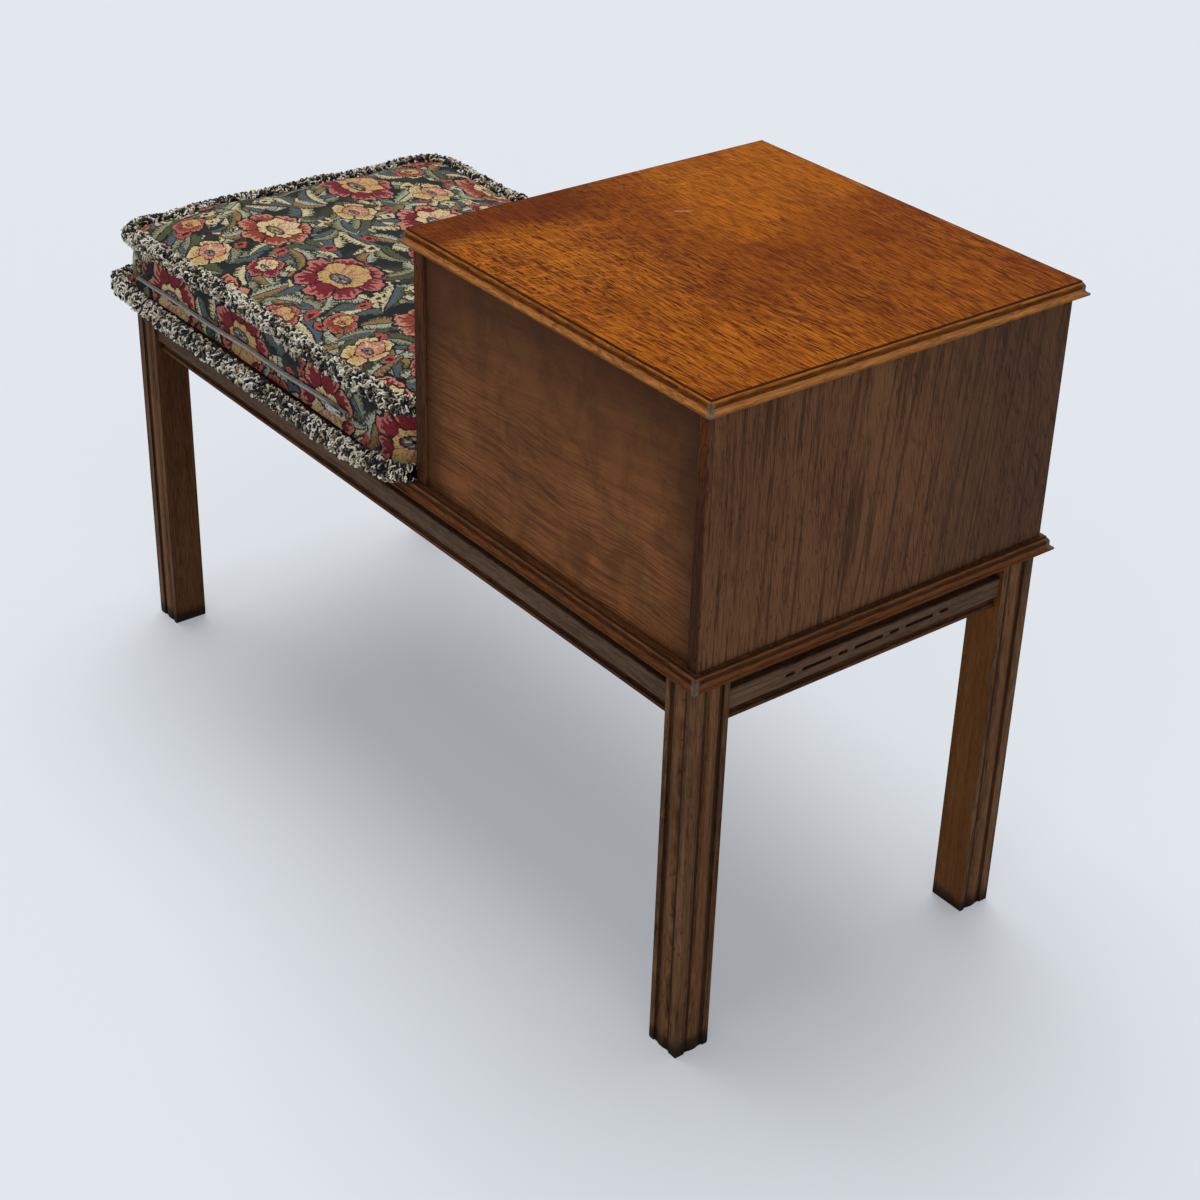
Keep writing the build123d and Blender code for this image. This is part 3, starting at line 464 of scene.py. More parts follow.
    @staticmethod
    def board_mitres() -> bpy.types.NodeTree:
        """Turn the grain round a moulded board's rim, and mark its mitres.

        Returns:
            The group.
        """
        g, take, end = new_group("board_mitres", [
            ("Vector", Kind.VECTOR, None), ("Centre X", Kind.NUMBER, 0.0),
            ("Half X", Kind.NUMBER, 0.3), ("Half Y", Kind.NUMBER, 0.2),
            ("Rim", Kind.NUMBER, 0.01)],
            [("Vector", Kind.VECTOR), ("Mitre", Kind.NUMBER), ("Rim", Kind.NUMBER),
             ("Edge", Kind.NUMBER), ("Nick", Kind.NUMBER)])
        x, y, z = g.split(take["Vector"])
        out_x = abs(x - take["Centre X"])
        to_end = take["Half X"] - out_x
        to_side = take["Half Y"] - abs(y)
        nearest = g.math("MINIMUM", to_end, to_side)
        rim = nearest < take["Rim"]
        on_end = rim * (to_end < to_side)
        off = rim * 1.7
        straight = g.join(x + off, y, z)
        crossed = g.join(y + off, x, z)
        gap = abs(to_end - to_side)
        mitre = rim * g.span(gap, 0.0007, 0.0002)
        nick = gap + g.noise(take["Vector"], 240.0, 3.0, 0.6) * 0.005
        nick = rim * g.span(nick, 0.0075, 0.0055)
        g.put(end, Vector=g.pick(on_end, straight, crossed), Mitre=mitre, Rim=rim, Edge=nearest,
              Nick=nick)
        return g.tree

    @staticmethod
    def thread_weave() -> bpy.types.NodeTree:
        """Snap a pattern to threads and raise their ribs.

        Returns:
            The group.
        """
        g, take, end = new_group("thread_weave", [
            ("Vector", Kind.VECTOR, None), ("Warp", Kind.NUMBER, 0.0017),
            ("Weft", Kind.NUMBER, 0.0010)],
            [("Vector", Kind.VECTOR), ("Thread", Kind.NUMBER), ("Height", Kind.NUMBER),
             ("Shade", Kind.NUMBER)])
        x, y, _ = g.split(take["Vector"])
        row = g.math("FLOOR", y / take["Weft"])
        shift = g.math("MODULO", abs(row), 2.0) * 0.5
        column_at = x / take["Warp"] + shift
        column = g.math("FLOOR", column_at)
        cell = g.join((column - shift) * take["Warp"], row * take["Weft"])
        chance = g.add("ShaderNodeTexWhiteNoise", noise_dimensions="2D")
        g.put(chance, Vector=g.join(column, row))
        in_x = g.math("FRACT", column_at) - 0.5
        in_y = g.math("FRACT", y / take["Weft"]) - 0.5
        round_x = 1.0 - in_x * in_x * 4.0
        round_y = 1.0 - in_y * in_y * 4.0
        height = round_x * g.span(round_y, 0.0, 0.7, 0.8, 1.0)
        g.put(end, Vector=cell, Thread=chance.outputs["Value"], Height=height,
              Shade=g.span(height, 0.0, 0.6, 0.5, 1.08))
        return g.tree

    @staticmethod
    def woven_leaf() -> bpy.types.NodeTree:
        """A field of curved two-sided leaves, one to a cell, shaded by hatching.

        Returns:
            The group.
        """
        g, take, end = new_group("woven_leaf", [
            ("Vector", Kind.VECTOR, None), ("Per Metre", Kind.NUMBER, 22.0),
            ("Length", Kind.NUMBER, 0.75), ("Width", Kind.NUMBER, 0.24),
            ("Bend", Kind.NUMBER, 1.4), ("Offset", Kind.NUMBER, 0.0)],
            [("Mask", Kind.NUMBER), ("Side", Kind.NUMBER), ("Rib", Kind.NUMBER),
             ("Chance", Kind.NUMBER), ("Shade", Kind.NUMBER), ("Ink", Kind.NUMBER)])
        scaled = g.vector("SCALE", take["Vector"], take["Per Metre"])
        moved = g.vector("ADD", scaled, g.join(take["Offset"], take["Offset"]))
        cell = g.cells(moved, 1.0, 0.75, flat=True)
        local = g.vector("SUBTRACT", moved, cell.outputs["Position"])
        turn, lean, chance = g.split(cell.outputs["Color"])
        angle = turn * TURN
        cos, sin = g.math("COSINE", angle), g.math("SINE", angle)
        dx, dy, _ = g.split(local)
        u = dx * cos + dy * sin
        v = dy * cos - dx * sin
        curve = (lean - 0.5) * take["Bend"]
        v = v + u * u * curve
        share = u / take["Length"]
        swell = 1.0 - share * share
        taper = 1.0 + share * -0.45
        notch = 1.0 + g.math("SINE", u * 30.0) * 0.1
        half = swell * taper * (take["Width"] * notch)
        out = abs(v)
        inside = half - out
        hatch = g.math("SINE", u * 58.0) * 0.22
        shade = out / g.math("MAXIMUM", half, 0.01) + hatch
        g.put(end, Mask=inside > 0.0, Ink=inside > -0.035, Side=v > 0.0, Rib=out < 0.02,
              Chance=chance, Shade=shade)
        return g.tree

    @staticmethod
    def nearest_bloom(repeat: tuple[float, float], blooms: Sequence["Bloom"],
                      ) -> bpy.types.NodeTree:
        """Find the bloom of the cloth's repeat that a point belongs to.

        Args:
            repeat: Width and height of the repeat.
            blooms: The blooms in one repeat.

        Returns:
            The group, whose Local is the point in radii of its bloom, with the bloom's
            scheme as its third number.
        """
        g, take, end = new_group("nearest_bloom", [("Vector", Kind.VECTOR, None)],
                                 [("Local", Kind.VECTOR)])
        half = (repeat[0] / 2, repeat[1] / 2, 1.0)
        back = tuple(-value for value in half)
        best, chosen = FAR, (FAR, FAR, 0.0)
        for one in blooms:
            away = g.vector("SUBTRACT", take["Vector"], (one.x, one.y, 0.0))
            away = g.vector("WRAP", away, half, back)
            scaled = g.vector("MULTIPLY", away, (1 / one.radius, one.squeeze / one.radius, 0.0))
            far = g.vector("LENGTH", scaled)
            marked = g.vector("ADD", scaled, (0.0, 0.0, float(one.scheme)))
            chosen = g.pick(far < best, chosen, marked)
            best = g.math("MINIMUM", far, best)
        g.put(end, Local=chosen)
        return g.tree

    @staticmethod
    def woven_bloom() -> bpy.types.NodeTree:
        """An open bloom of petals round a frilled bowl, over the cloth under it.

        Returns:
            The group.
        """
        g, take, end = new_group("woven_bloom", [
            ("Local", Kind.VECTOR, None), ("Vector", Kind.VECTOR, None),
            ("Under", Kind.COLOUR, None), ("Petal", Kind.COLOUR, None),
            ("Tip", Kind.COLOUR, None), ("Bowl", Kind.COLOUR, None),
            ("Heart", Kind.COLOUR, None)],
            [("Colour", Kind.COLOUR)])
        dx, dy, scheme = g.split(take["Local"])
        reach = g.vector("LENGTH", g.join(dx, dy))
        cup = g.vector("LENGTH", g.join(dx - 0.05, dy + 0.17))
        core = g.vector("LENGTH", g.join(dx + 0.04, (dy - 0.03) * 1.7))
        wobble = g.noise(take["Vector"], 80.0, 1.0, flat=True)
        wander = (wobble - 0.5) * 0.3
        reach, cup = reach + wander, cup + wander
        angle = g.math("ARCTAN2", dy, dx) + scheme * 1.1
        count = 7.0 - 2.0 * (scheme > 2.5)

        def petals(phase: float, sharp: float) -> Field:
            """Lobes round the bloom, 1 at each petal's middle and 0 between two."""
            half_turn = angle * (count * 0.5)
            wave = abs(g.math("COSINE", half_turn + phase))
            return g.math("POWER", wave, sharp)

        def within(edge: Value, of: Optional[Value] = None) -> Field:
            """1 inside a line round the bloom, or round a part of it."""
            return (reach if of is None else of) < edge

        def comb(rays: float, level: float) -> Field:
            """Hatching in rays, 1 on each."""
            return g.math("SINE", angle * rays) > level

        lobe, inner_lobe = petals(0.0, 0.4), petals(TURN / 4, 0.5)
        frill = g.math("SINE", angle * 19.0) * 0.018
        outer = 0.7 + lobe * 0.3 + frill
        middle = 0.44 + inner_lobe * 0.17 + frill * 0.8
        colour = g.blend(within(outer + 0.08), take["Under"], INK)
        colour = g.blend(within(outer), colour, take["Tip"])
        fade = comb(31.0, -0.1) * within(outer - 0.09)
        colour = g.blend(fade, colour, take["Petal"])
        colour = g.blend(within(outer - 0.2), colour, take["Petal"])
        crease = (lobe < 0.48) * within(0.84)
        colour = g.blend(crease, colour, WINE_DARK)
        colour = g.blend(within(middle + 0.06, cup), colour, WINE_DARK)
        colour = g.blend(within(middle, cup), colour, take["Bowl"])
        fold = (inner_lobe < 0.42) * within(0.52, cup)
        colour = g.blend(fold, colour, take["Tip"])
        colour = g.blend(comb(13.0, 0.3) * within(0.3, cup), colour, take["Tip"])
        colour = g.blend(within(0.33, core), colour, WINE_DARK)
        colour = g.blend(within(0.27 + frill * 1.5, core), colour, take["Heart"])
        colour = g.blend(comb(7.0, 0.4) * within(0.22, core), colour, take["Bowl"])
        colour = g.blend(within(0.07, core), colour, INK)
        g.put(end, Colour=colour)
        return g.tree


INK = paint(27, 28, 33)
WINE_DARK = paint(70, 24, 30)


# ------------------------------------------------------------------- finishes
class Grain(Enum):
    """The frame axis that a piece's grain runs along, with the two across it."""

    LENGTH = (0, 1, 2)
    DEPTH = (1, 0, 2)
    HEIGHT = (2, 0, 1)
    UPRIGHT_END = (2, 1, 0)


def new_material(name: str) -> tuple[bpy.types.Material, Graph, bpy.types.Node]:
    """Start a material with one Principled shader.

    Args:
        name: The material's name.

    Returns:
        The material, its graph and the shader.
    """
    material = bpy.data.materials.new(name)
    material.use_nodes = True
    material.node_tree.nodes.clear()
    g = Graph(material.node_tree)
    shader = g.add("ShaderNodeBsdfPrincipled")
    end = g.add("ShaderNodeOutputMaterial")
    material.node_tree.links.new(shader.outputs[0], end.inputs[0])
    return material, g, shader


@dataclass(frozen=True)
class Sawn:
    """How a piece was cut from the log."""

    pith_across: float = -0.6
    pith_depth: float = 0.05
    slope: float = 0.0
    rings: float = 160.0
    waver: float = 0.004
    ray_turn: float = 0.0


@dataclass(frozen=True)
class Moulded:
    """Where a board's mitred rim lies."""

    centre_x: float
    half_x: float
    half_y: float


@dataclass(frozen=True)
class WoodFinish:
    """A stained and waxed wood, from its deepest to its lightest tone."""

    name: str
    deep: Colour
    middle: Colour
    light: Colour
    wear_and_shade: Colour
    fleck: Colour = paint(150, 96, 48)
    fleck_share: float = 0.0
    pore_share: float = 0.5
    ring_share: float = 0.5
    dash_share: float = 0.26
    streak_share: float = 0.5
    blotch_share: float = 0.6
    wear_share: float = 0.5
    dirt_shade_share: float = 0.6
    arris: float = 0.0005
    rough: float = 0.46
    specular: float = 0.02
    bump: float = 0.35

    def material(self, fx: Effects, grain: Grain, seed: float, sawn: Sawn = Sawn(),
                 moulded: Optional[Moulded] = None, name: str = "",
                 touch: Optional[Callable[["Wood"], Field]] = None) -> bpy.types.Material:
        """Make the material for one piece.

        Args:
            fx: The shared shader groups.
            grain: The axis that its grain runs along.
            seed: Moves the piece to another part of the log.
            sawn: How it was cut.
            moulded: Its mitred rim, if it has one.
            name: The material's name, else the finish's own.
            touch: A call that alters the colour, given the Wood being made.

        Returns:
            The material.
        """
        material, g, shader = new_material(name or self.name)
        place = g.place()
        source, rim = place, None
        if moulded:
            rim = g.use(fx.board, Vector=place, Centre_X=moulded.centre_x,
                        Half_X=moulded.half_x, Half_Y=moulded.half_y, Rim=RIM)
            source = rim["Vector"]
        axes = g.split(source)
        turned = g.join(*[axes[index] for index in grain.value])
        turned = g.vector("ADD", turned, (seed * 1.37, 0.0, 0.0))
        oak = g.use(fx.oak, Vector=turned, Pith_Y=sawn.pith_across, Pith_Depth=sawn.pith_depth,
                    Slope=sawn.slope, Rings=sawn.rings, Waver=sawn.waver,
                    Ray_Turn=sawn.ray_turn)
        wear = g.use(fx.arris, Vector=place, Width=self.arris)
        tone = 0.5
        for part, share in (("Ring", self.ring_share), ("Dash", self.dash_share),
                            ("Blotch", self.blotch_share)):
            tone = tone + (oak[part] - 0.5) * (2.0 * share)
        darkest = dimmed(self.deep, 0.22)
        colour = g.ramp(tone, ((0.0, self.deep), (0.5, self.middle), (1.0, self.light)))
        colour = g.blend(oak["Streak"] * self.streak_share, colour, self.deep)
        made = Wood(g, place, oak, rim, colour, self)
        colour = touch(made) if touch else colour
        if self.fleck_share and not touch:
            colour = g.blend(oak["Fleck"] * self.fleck_share, colour, self.fleck)
        colour = g.blend(oak["Pore"] * self.pore_share, colour, darkest)
        colour = g.blend(wear["Worn"] * self.wear_share, colour, self.wear_and_shade)
        # Dirt and painted shade in corners and recesses, towards the darkest tone.
        colour = g.blend(wear["Dirt"] * self.dirt_shade_share, colour, darkest)
        if rim:
            colour = g.blend(rim["Mitre"] * 0.4, colour, darkest)
        rough = oak["Blotch"] * 0.16 + (self.rough - 0.08)
        g.put(shader, Base_Color=colour, Roughness=rough, Specular_IOR_Level=self.specular,
              Normal=g.bump(self.bump, 0.0004, oak["Height"], wear["Normal"]))
        return material


@dataclass(frozen=True)
class Wood:
    """A wood material while it is being made, for a piece's own touches."""

    g: Graph
    place: Field
    oak: dict[str, Field]
    rim: Optional[dict[str, Field]]
    colour: Field
    finish: WoodFinish

    def mould_light_and_shade(self, base: float, lip: Colour, cove: Colour, side: Colour, crest: Colour,
                    line: Colour) -> Field:
        """Paint light and shade on a mitred moulding band by band (lit cove and crest, shaded steep
        side), with a painted shade line at its quirk.

        Args:
            base: Height of the board's underside.
            lip: Colour of the upright edge.
            cove: Painted light colour of the hollow over it.
            side: Painted shade colour of the round's steep side.
            crest: Painted light colour of the round's crest.
            line: Painted shade colour of the quirk.

        Returns:
            The altered colour.
        """
        g = self.g
        z = g.split(self.place)[2]
        rise = (z - base) / BOARD_THICK
        broken = (g.noise(self.place, 60.0, 3.0) - 0.5) * 0.16
        # Painted light and shade by height across the profile.
        lit_and_shaded_bands = g.ramp(rise + broken,
                       ((0.1, lip), (0.2, cove), (0.38, cove), (0.5, side), (0.7, side),
                        (0.84, crest)))
        dash = g.span(self.oak["Dash"], 0.3, 0.7, 0.78, 1.2, smooth=False)
        lit_and_shaded_bands = g.shade(lit_and_shaded_bands, dash)
        colour = g.blend(self.rim["Rim"] * 0.85, self.colour, lit_and_shaded_bands)
        # Painted shade line in the quirk.
        off = abs(self.rim["Edge"] - RIM)
        quirk_shade = g.span(off, 0.001, 0.0004) * g.span(rise, 0.85, 0.9)
        colour = g.blend(quirk_shade * 0.82, colour, line)
        # Painted highlight on the rim where it faces the end.
        nx = g.split(g.facing())[0]
        end_highlight = g.span(nx, -0.25, -0.6) * self.rim["Rim"]
        colour = g.blend(end_highlight, colour, (1.05, 1.1, 1.2, 1.0), "MULTIPLY")
        wear_and_shade = self.rim["Nick"] * g.span(rise, 0.9, 0.55, 0.0, 0.8)
        return g.blend(wear_and_shade, colour, paint(112, 100, 90))


@dataclass(frozen=True)
class MetalFinish:
    """A metal with tarnish in its corners and handled, brighter arrises."""

    name: str
    bright: Colour
    dull: Colour
    rough: float = 0.3
    grain: float = 600.0
    arris: float = 0.0004

    def material(self, fx: Effects) -> bpy.types.Material:
        """Make the material."""
        material, g, shader = new_material(self.name)
        place = g.place()
        wear = g.use(fx.arris, Vector=place, Width=self.arris, Dirt_Reach=0.004)
        cloud = g.noise(place, 140.0, 4.0, 0.6)
        grit = g.noise(place, self.grain, 2.0, 0.5)
        colour = g.blend(g.span(cloud, 0.45, 0.8, 0.0, 0.7), self.bright, self.dull)
        colour = g.blend(wear["Dirt"] * 0.8, colour, dimmed(self.dull, 0.25))
        colour = g.blend(wear["Worn"] * 0.7, colour, self.bright)
        rough = g.span(cloud, 0.3, 0.7, self.rough - 0.08, self.rough + 0.16)
        g.put(shader, Base_Color=colour, Roughness=rough, Metallic=1.0,
              Normal=g.bump(0.12, 0.0002, grit, wear["Normal"]))
        return material


@dataclass(frozen=True)
class Bloom:
    """One flower of the cloth's repeat: place, size, squeeze and colours."""

    x: float
    y: float
    radius: float
    squeeze: float
    scheme: int


@dataclass(frozen=True)
class TapestryFinish:
    """A woven floral cloth on the cushion's own cloth map."""

    name: str = "tapestry"
    repeat: tuple[float, float] = (0.285, 0.262)
    blooms: tuple[Bloom, ...] = (
        Bloom(0.052, 0.052, 0.050, 1.25, 0), Bloom(0.192, 0.040, 0.045, 1.35, 1),
        Bloom(0.120, 0.158, 0.048, 1.3, 2), Bloom(0.254, 0.168, 0.047, 1.35, 0),
        Bloom(0.124, 0.092, 0.021, 1.2, 3), Bloom(0.196, 0.112, 0.026, 1.2, 4),
        Bloom(0.034, 0.132, 0.025, 1.2, 5), Bloom(0.188, 0.212, 0.026, 1.2, 4),
        Bloom(0.046, 0.216, 0.023, 1.2, 3), Bloom(0.262, 0.098, 0.019, 1.2, 5))

    def schemes(self) -> tuple[tuple[Colour, ...], ...]:
        """Petal, tip, bowl and heart of each kind of bloom."""
        wine, rose = paint(122, 38, 46), paint(190, 112, 104)
        salmon, cream = paint(198, 134, 110), paint(218, 194, 146)
        gold, slate = paint(200, 164, 104), paint(80, 96, 108)
        olive, rust = paint(104, 104, 66), paint(146, 66, 50)
        return ((wine, rose, gold, slate), (rust, salmon, cream, olive),
                (wine, salmon, cream, slate), (wine, rose, cream, slate),
                (gold, cream, salmon, slate), (rust, rose, gold, wine))

    def material(self, fx: Effects) -> bpy.types.Material:
        """Make the material."""
        material, g, shader = new_material(self.name)
        weave = g.use(fx.weave, Vector=g.add("ShaderNodeUVMap", uv_map="cloth"))
        at = weave["Vector"]
        sage, moss = paint(144, 142, 112), paint(84, 86, 62)
        cream, slate = paint(208, 192, 150), paint(84, 96, 106)
        pale, tan = paint(170, 172, 152), paint(150, 118, 76)
        colour = g.ramp(g.noise(at, 16.0, 2.0, flat=True),
                        ((0.0, INK), (0.5, paint(36, 38, 40)), (0.64, paint(66, 64, 48)),
                         (1.0, paint(80, 70, 50))))
        for offset, per_metre, length, width in (
                (3.0, 27.0, 0.8, 0.34), (11.5, 22.0, 0.9, 0.28), (27.2, 33.0, 0.75, 0.34),
                (41.3, 24.0, 0.85, 0.24)):
            leaf = g.use(fx.leaf, Vector=at, Per_Metre=per_metre, Length=length, Width=width,
                         Offset=offset)
            shown = leaf["Chance"] > 0.38
            warm = g.blend(leaf["Chance"] > 0.62, sage, cream)
            warm = g.blend(leaf["Chance"] > 0.9, warm, tan)
            cool = g.blend(leaf["Chance"] > 0.52, moss, slate)
            cool = g.blend(leaf["Chance"] > 0.8, cool, pale)
            body = g.blend(leaf["Side"], warm, cool)
            body = g.blend(leaf["Shade"] > 0.72, body, moss)
            body = g.blend(leaf["Rib"], body, INK)
            colour = g.blend(leaf["Ink"] * shown, colour, INK)
            colour = g.blend(leaf["Mask"] * shown, colour, body)
        bud = g.cells(at, 46.0, 0.9, flat=True)
        chance = g.split(bud.outputs["Color"])
        sown = chance[0] > 0.78
        ragged = (g.noise(at, 130.0, 1.0, flat=True) - 0.5) * 0.5
        round_to = bud.outputs["Distance"] + ragged
        tint = g.blend(chance[1] > 0.5, paint(172, 86, 76), cream)
        colour = g.blend(sown * (round_to < 0.4), colour, INK)
        colour = g.blend(sown * (round_to < 0.34), colour, tint)
        colour = g.blend(sown * (round_to < 0.12), colour, WINE_DARK)
        local = g.use(fx.nearest_bloom(self.repeat, self.blooms), Vector=at)["Local"]
        schemes = self.schemes()
        share = (g.split(local)[2] + 0.5) / len(schemes)
        tones = [g.ramp(share, tuple((number / len(schemes), scheme[part])
                                     for number, scheme in enumerate(schemes)), "CONSTANT")
                 for part in range(4)]
        bloom = g.use(fx.bloom, Local=local, Vector=at, Under=colour, Petal=tones[0],
                      Tip=tones[1], Bowl=tones[2], Heart=tones[3])
        colour = bloom["Colour"]
        fleck = g.span(weave["Thread"], 0.0, 1.0, 0.8, 1.14, smooth=False)
        colour = g.shade(colour, fleck)
        colour = g.blend((weave["Thread"] < 0.08) * 0.6, colour, INK)
        colour = g.shade(colour, weave["Shade"])
        g.put(shader, Base_Color=colour, Roughness=0.9, Specular_IOR_Level=0.05,
              Sheen_Weight=0.05, Sheen_Roughness=0.5,
              Normal=g.bump(0.7, 0.0006, weave["Height"]))
        return material


@dataclass(frozen=True)
class YarnFinish:
    """Short looped yarn in mixed colours, one to a loop."""

    name: str = "fringe_yarn"

    def material(self) -> bpy.types.Material:
        """Make the material."""
        material, g, shader = new_material(self.name)
        loop = g.add("ShaderNodeAttribute", attribute_name="loop").outputs["Fac"]
        place = g.place()
        drift = (g.noise(place, 26.0, 2.0) - 0.5) * 0.5
        colour = g.ramp(g.math("ADD", loop, drift, clamp=True),
                        ((0.0, paint(18, 18, 21)), (0.26, paint(30, 34, 48)),
                         (0.38, paint(80, 72, 52)), (0.45, paint(146, 128, 98)),
                         (0.53, paint(196, 180, 150)), (0.64, paint(228, 218, 196)),
                         (0.82, paint(246, 242, 230))), "CONSTANT")
        spun = g.noise(place, 900.0, 2.0, 0.6)
        colour = g.blend(g.span(spun, 0.4, 0.7, 0.0, 0.35), colour, INK)
        g.put(shader, Base_Color=colour, Roughness=0.92, Specular_IOR_Level=0.1,
              Sheen_Weight=0.15, Normal=g.bump(0.5, 0.0004, spun))
        return material


@dataclass(frozen=True)
class ClothFinish:
    """A plain woven tape."""

    name: str
    light: Colour
    dark: Colour
    pitch: float = 0.0007

    def material(self, fx: Effects) -> bpy.types.Material:
        """Make the material."""
        material, g, shader = new_material(self.name)
        x, _, z = g.split(g.place())
        weave = g.use(fx.weave, Vector=g.join(x, z), Warp=self.pitch, Weft=self.pitch)
        colour = g.blend(weave["Thread"], self.dark, self.light)
        # Painted shade in the dips between threads.
        colour = g.blend(g.span(weave["Height"], 0.7, 0.1), colour, self.dark)
        g.put(shader, Base_Color=colour, Roughness=0.85, Specular_IOR_Level=0.15,
              Normal=g.bump(0.5, 0.0003, weave["Height"]))
        return material


def dress(material: bpy.types.Material, *nodes: str) -> None:
    """Put one material on CAD nodes, in every slot they have.

    Args:
        material: The material.
        *nodes: The nodes' names.
    """
    for name in nodes:
        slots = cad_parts[name].data.materials
        if not slots:
            slots.append(material)
        for index in range(len(slots)):
            slots[index] = material
        LOG.info("dressed %s in %s", name, material.name)


RAW_WOOD = WoodFinish(
    "raw_wood", paint(120, 88, 56), paint(164, 126, 84), paint(190, 152, 106),
    paint(196, 160, 116), specular=0.15, rough=0.7, wear_share=0.2)


# ---------------------------------------------------------------------- stand
@dataclass
class Stand:
    """Legs, rails, fretted strips and the moulded board that they carry."""

    fx: Effects
    leg_oak: WoodFinish = WoodFinish(
        "oak_stand", paint(52, 34, 21), paint(90, 61, 39), paint(122, 87, 57),
        paint(140, 92, 50), streak_share=0.6, wear_share=0.5)
    rail_oak: WoodFinish = WoodFinish(
        "oak_rail", paint(46, 28, 17), paint(78, 50, 32), paint(104, 70, 45),
        paint(140, 94, 54), wear_share=0.4)
    strip_oak: WoodFinish = WoodFinish(
        "oak_strip", paint(56, 41, 30), paint(86, 65, 49), paint(108, 84, 64),
        paint(130, 98, 70), wear_share=0.4)
    board_oak: WoodFinish = WoodFinish(
        "oak_board", paint(50, 29, 16), paint(84, 51, 30), paint(118, 76, 44),
        paint(150, 98, 54), wear_share=0.45, arris=0.0003)
    block_wood: WoodFinish = replace(RAW_WOOD, dirt_shade_share=0.5)
    board: Moulded = Moulded(0.0, *BOARD_HALF)
    board_base: float = 0.3765
    # Painted shade in the legs' grooves.
    groove_shade: Colour = paint(30, 19, 12)
    half_length: float = 0.45
    half_depth: float = 0.1875

    def inner_faces(self, wood: Wood) -> Field:
        """Paint shade into the legs' grooves and highlights on their beads, tint their inner faces
        with painted shade and light by the way they face, and darken their feet with painted
        contact shade.

        Args:
            wood: The material being made.

        Returns:
            The altered colour.
        """
        g = wood.g
        x, y, z = g.split(wood.place)
        nx, ny, _ = g.split(g.facing())
        in_x = self.half_length - abs(x)
        in_y = self.half_depth - abs(y)
        colour = wood.colour
        # Painted highlights on the reed and outer fillet, painted shade in the two grooves, across
        # each moulded face.
        for face, along in ((in_x, in_y), (in_y, in_x)):
            outer = g.span(face, 0.0032, 0.0024)
            for centre, half, share, tint in ((0.0195, 0.0045, 0.3, paint(132, 88, 52)),
                                              (0.0046, 0.003, 0.25, paint(112, 86, 66)),
                                              (0.0114, 0.0026, 0.72, self.groove_shade),
                                              (0.0277, 0.0026, 0.72, self.groove_shade)):
                near = abs(along - centre)
                colour = g.blend(outer * g.span(near, half, 0.4 * half, 0.0, share), colour, tint)
        # Painted shade on inner faces that face along X, painted golden light on those that face
        # along Y.
        inward_x = nx * g.math("SIGN", x)
        inward_y = ny * g.math("SIGN", y)
        colour = g.blend(g.span(inward_x, -0.4, -0.9, 0.0, 0.62), colour, paint(60, 34, 16))
        colour = g.blend(g.span(inward_y, -0.4, -0.9, 0.0, 0.55), colour, paint(108, 64, 22))
        # Painted contact shade, darker towards the feet.
        cloud = g.noise(wood.place, 70.0, 2.0)
        wear_and_shade = z + cloud * 0.012
        return g.blend(g.span(wear_and_shade, 0.026, 0.011, 0.0, 0.85), colour, paint(26, 20, 17))

    def mouldings(self, wood: Wood) -> Field:
        """Bands of painted light and shade on the base board's moulding."""
        # Painted light on the cove and crest, and painted shade on the steep side and in the quirk.
        return wood.mould_light_and_shade(self.board_base, paint(80, 48, 26), paint(112, 66, 36),
                                paint(50, 29, 16), paint(116, 72, 40), paint(16, 9, 5))

    def dress(self) -> None:
        """Give each piece its wood."""
        legs = ("leg_cabinet_back", "leg_seat_back", "leg_cabinet_front", "leg_seat_front")
        for seed, name in enumerate(legs):
            dress(self.leg_oak.material(
                self.fx, Grain.HEIGHT, seed, Sawn(-0.3 + 0.05 * seed, 0.3, 0.008, 210.0, 0.001),
                name="oak_" + name, touch=self.inner_faces), name)
        dress(self.rail_oak.material(self.fx, Grain.LENGTH, 5, name="oak_rail_long"),
              "rail_back", "rail_front")
        dress(self.rail_oak.material(self.fx, Grain.DEPTH, 6, name="oak_rail_short"),
              "rail_cabinet_end", "rail_seat_end")
        dress(self.strip_oak.material(self.fx, Grain.LENGTH, 7, name="oak_strip_long"),
              "strip_back", "strip_front")
        dress(self.strip_oak.material(self.fx, Grain.DEPTH, 8, name="oak_strip_short"),
              "strip_cabinet_end", "strip_seat_end")
        dress(self.board_oak.material(self.fx, Grain.LENGTH, 9, moulded=self.board,
                                      touch=self.mouldings), "base_board")
        dress(self.block_wood.material(self.fx, Grain.HEIGHT, 10, name="raw_wood_blocks"),
              "corner_blocks")


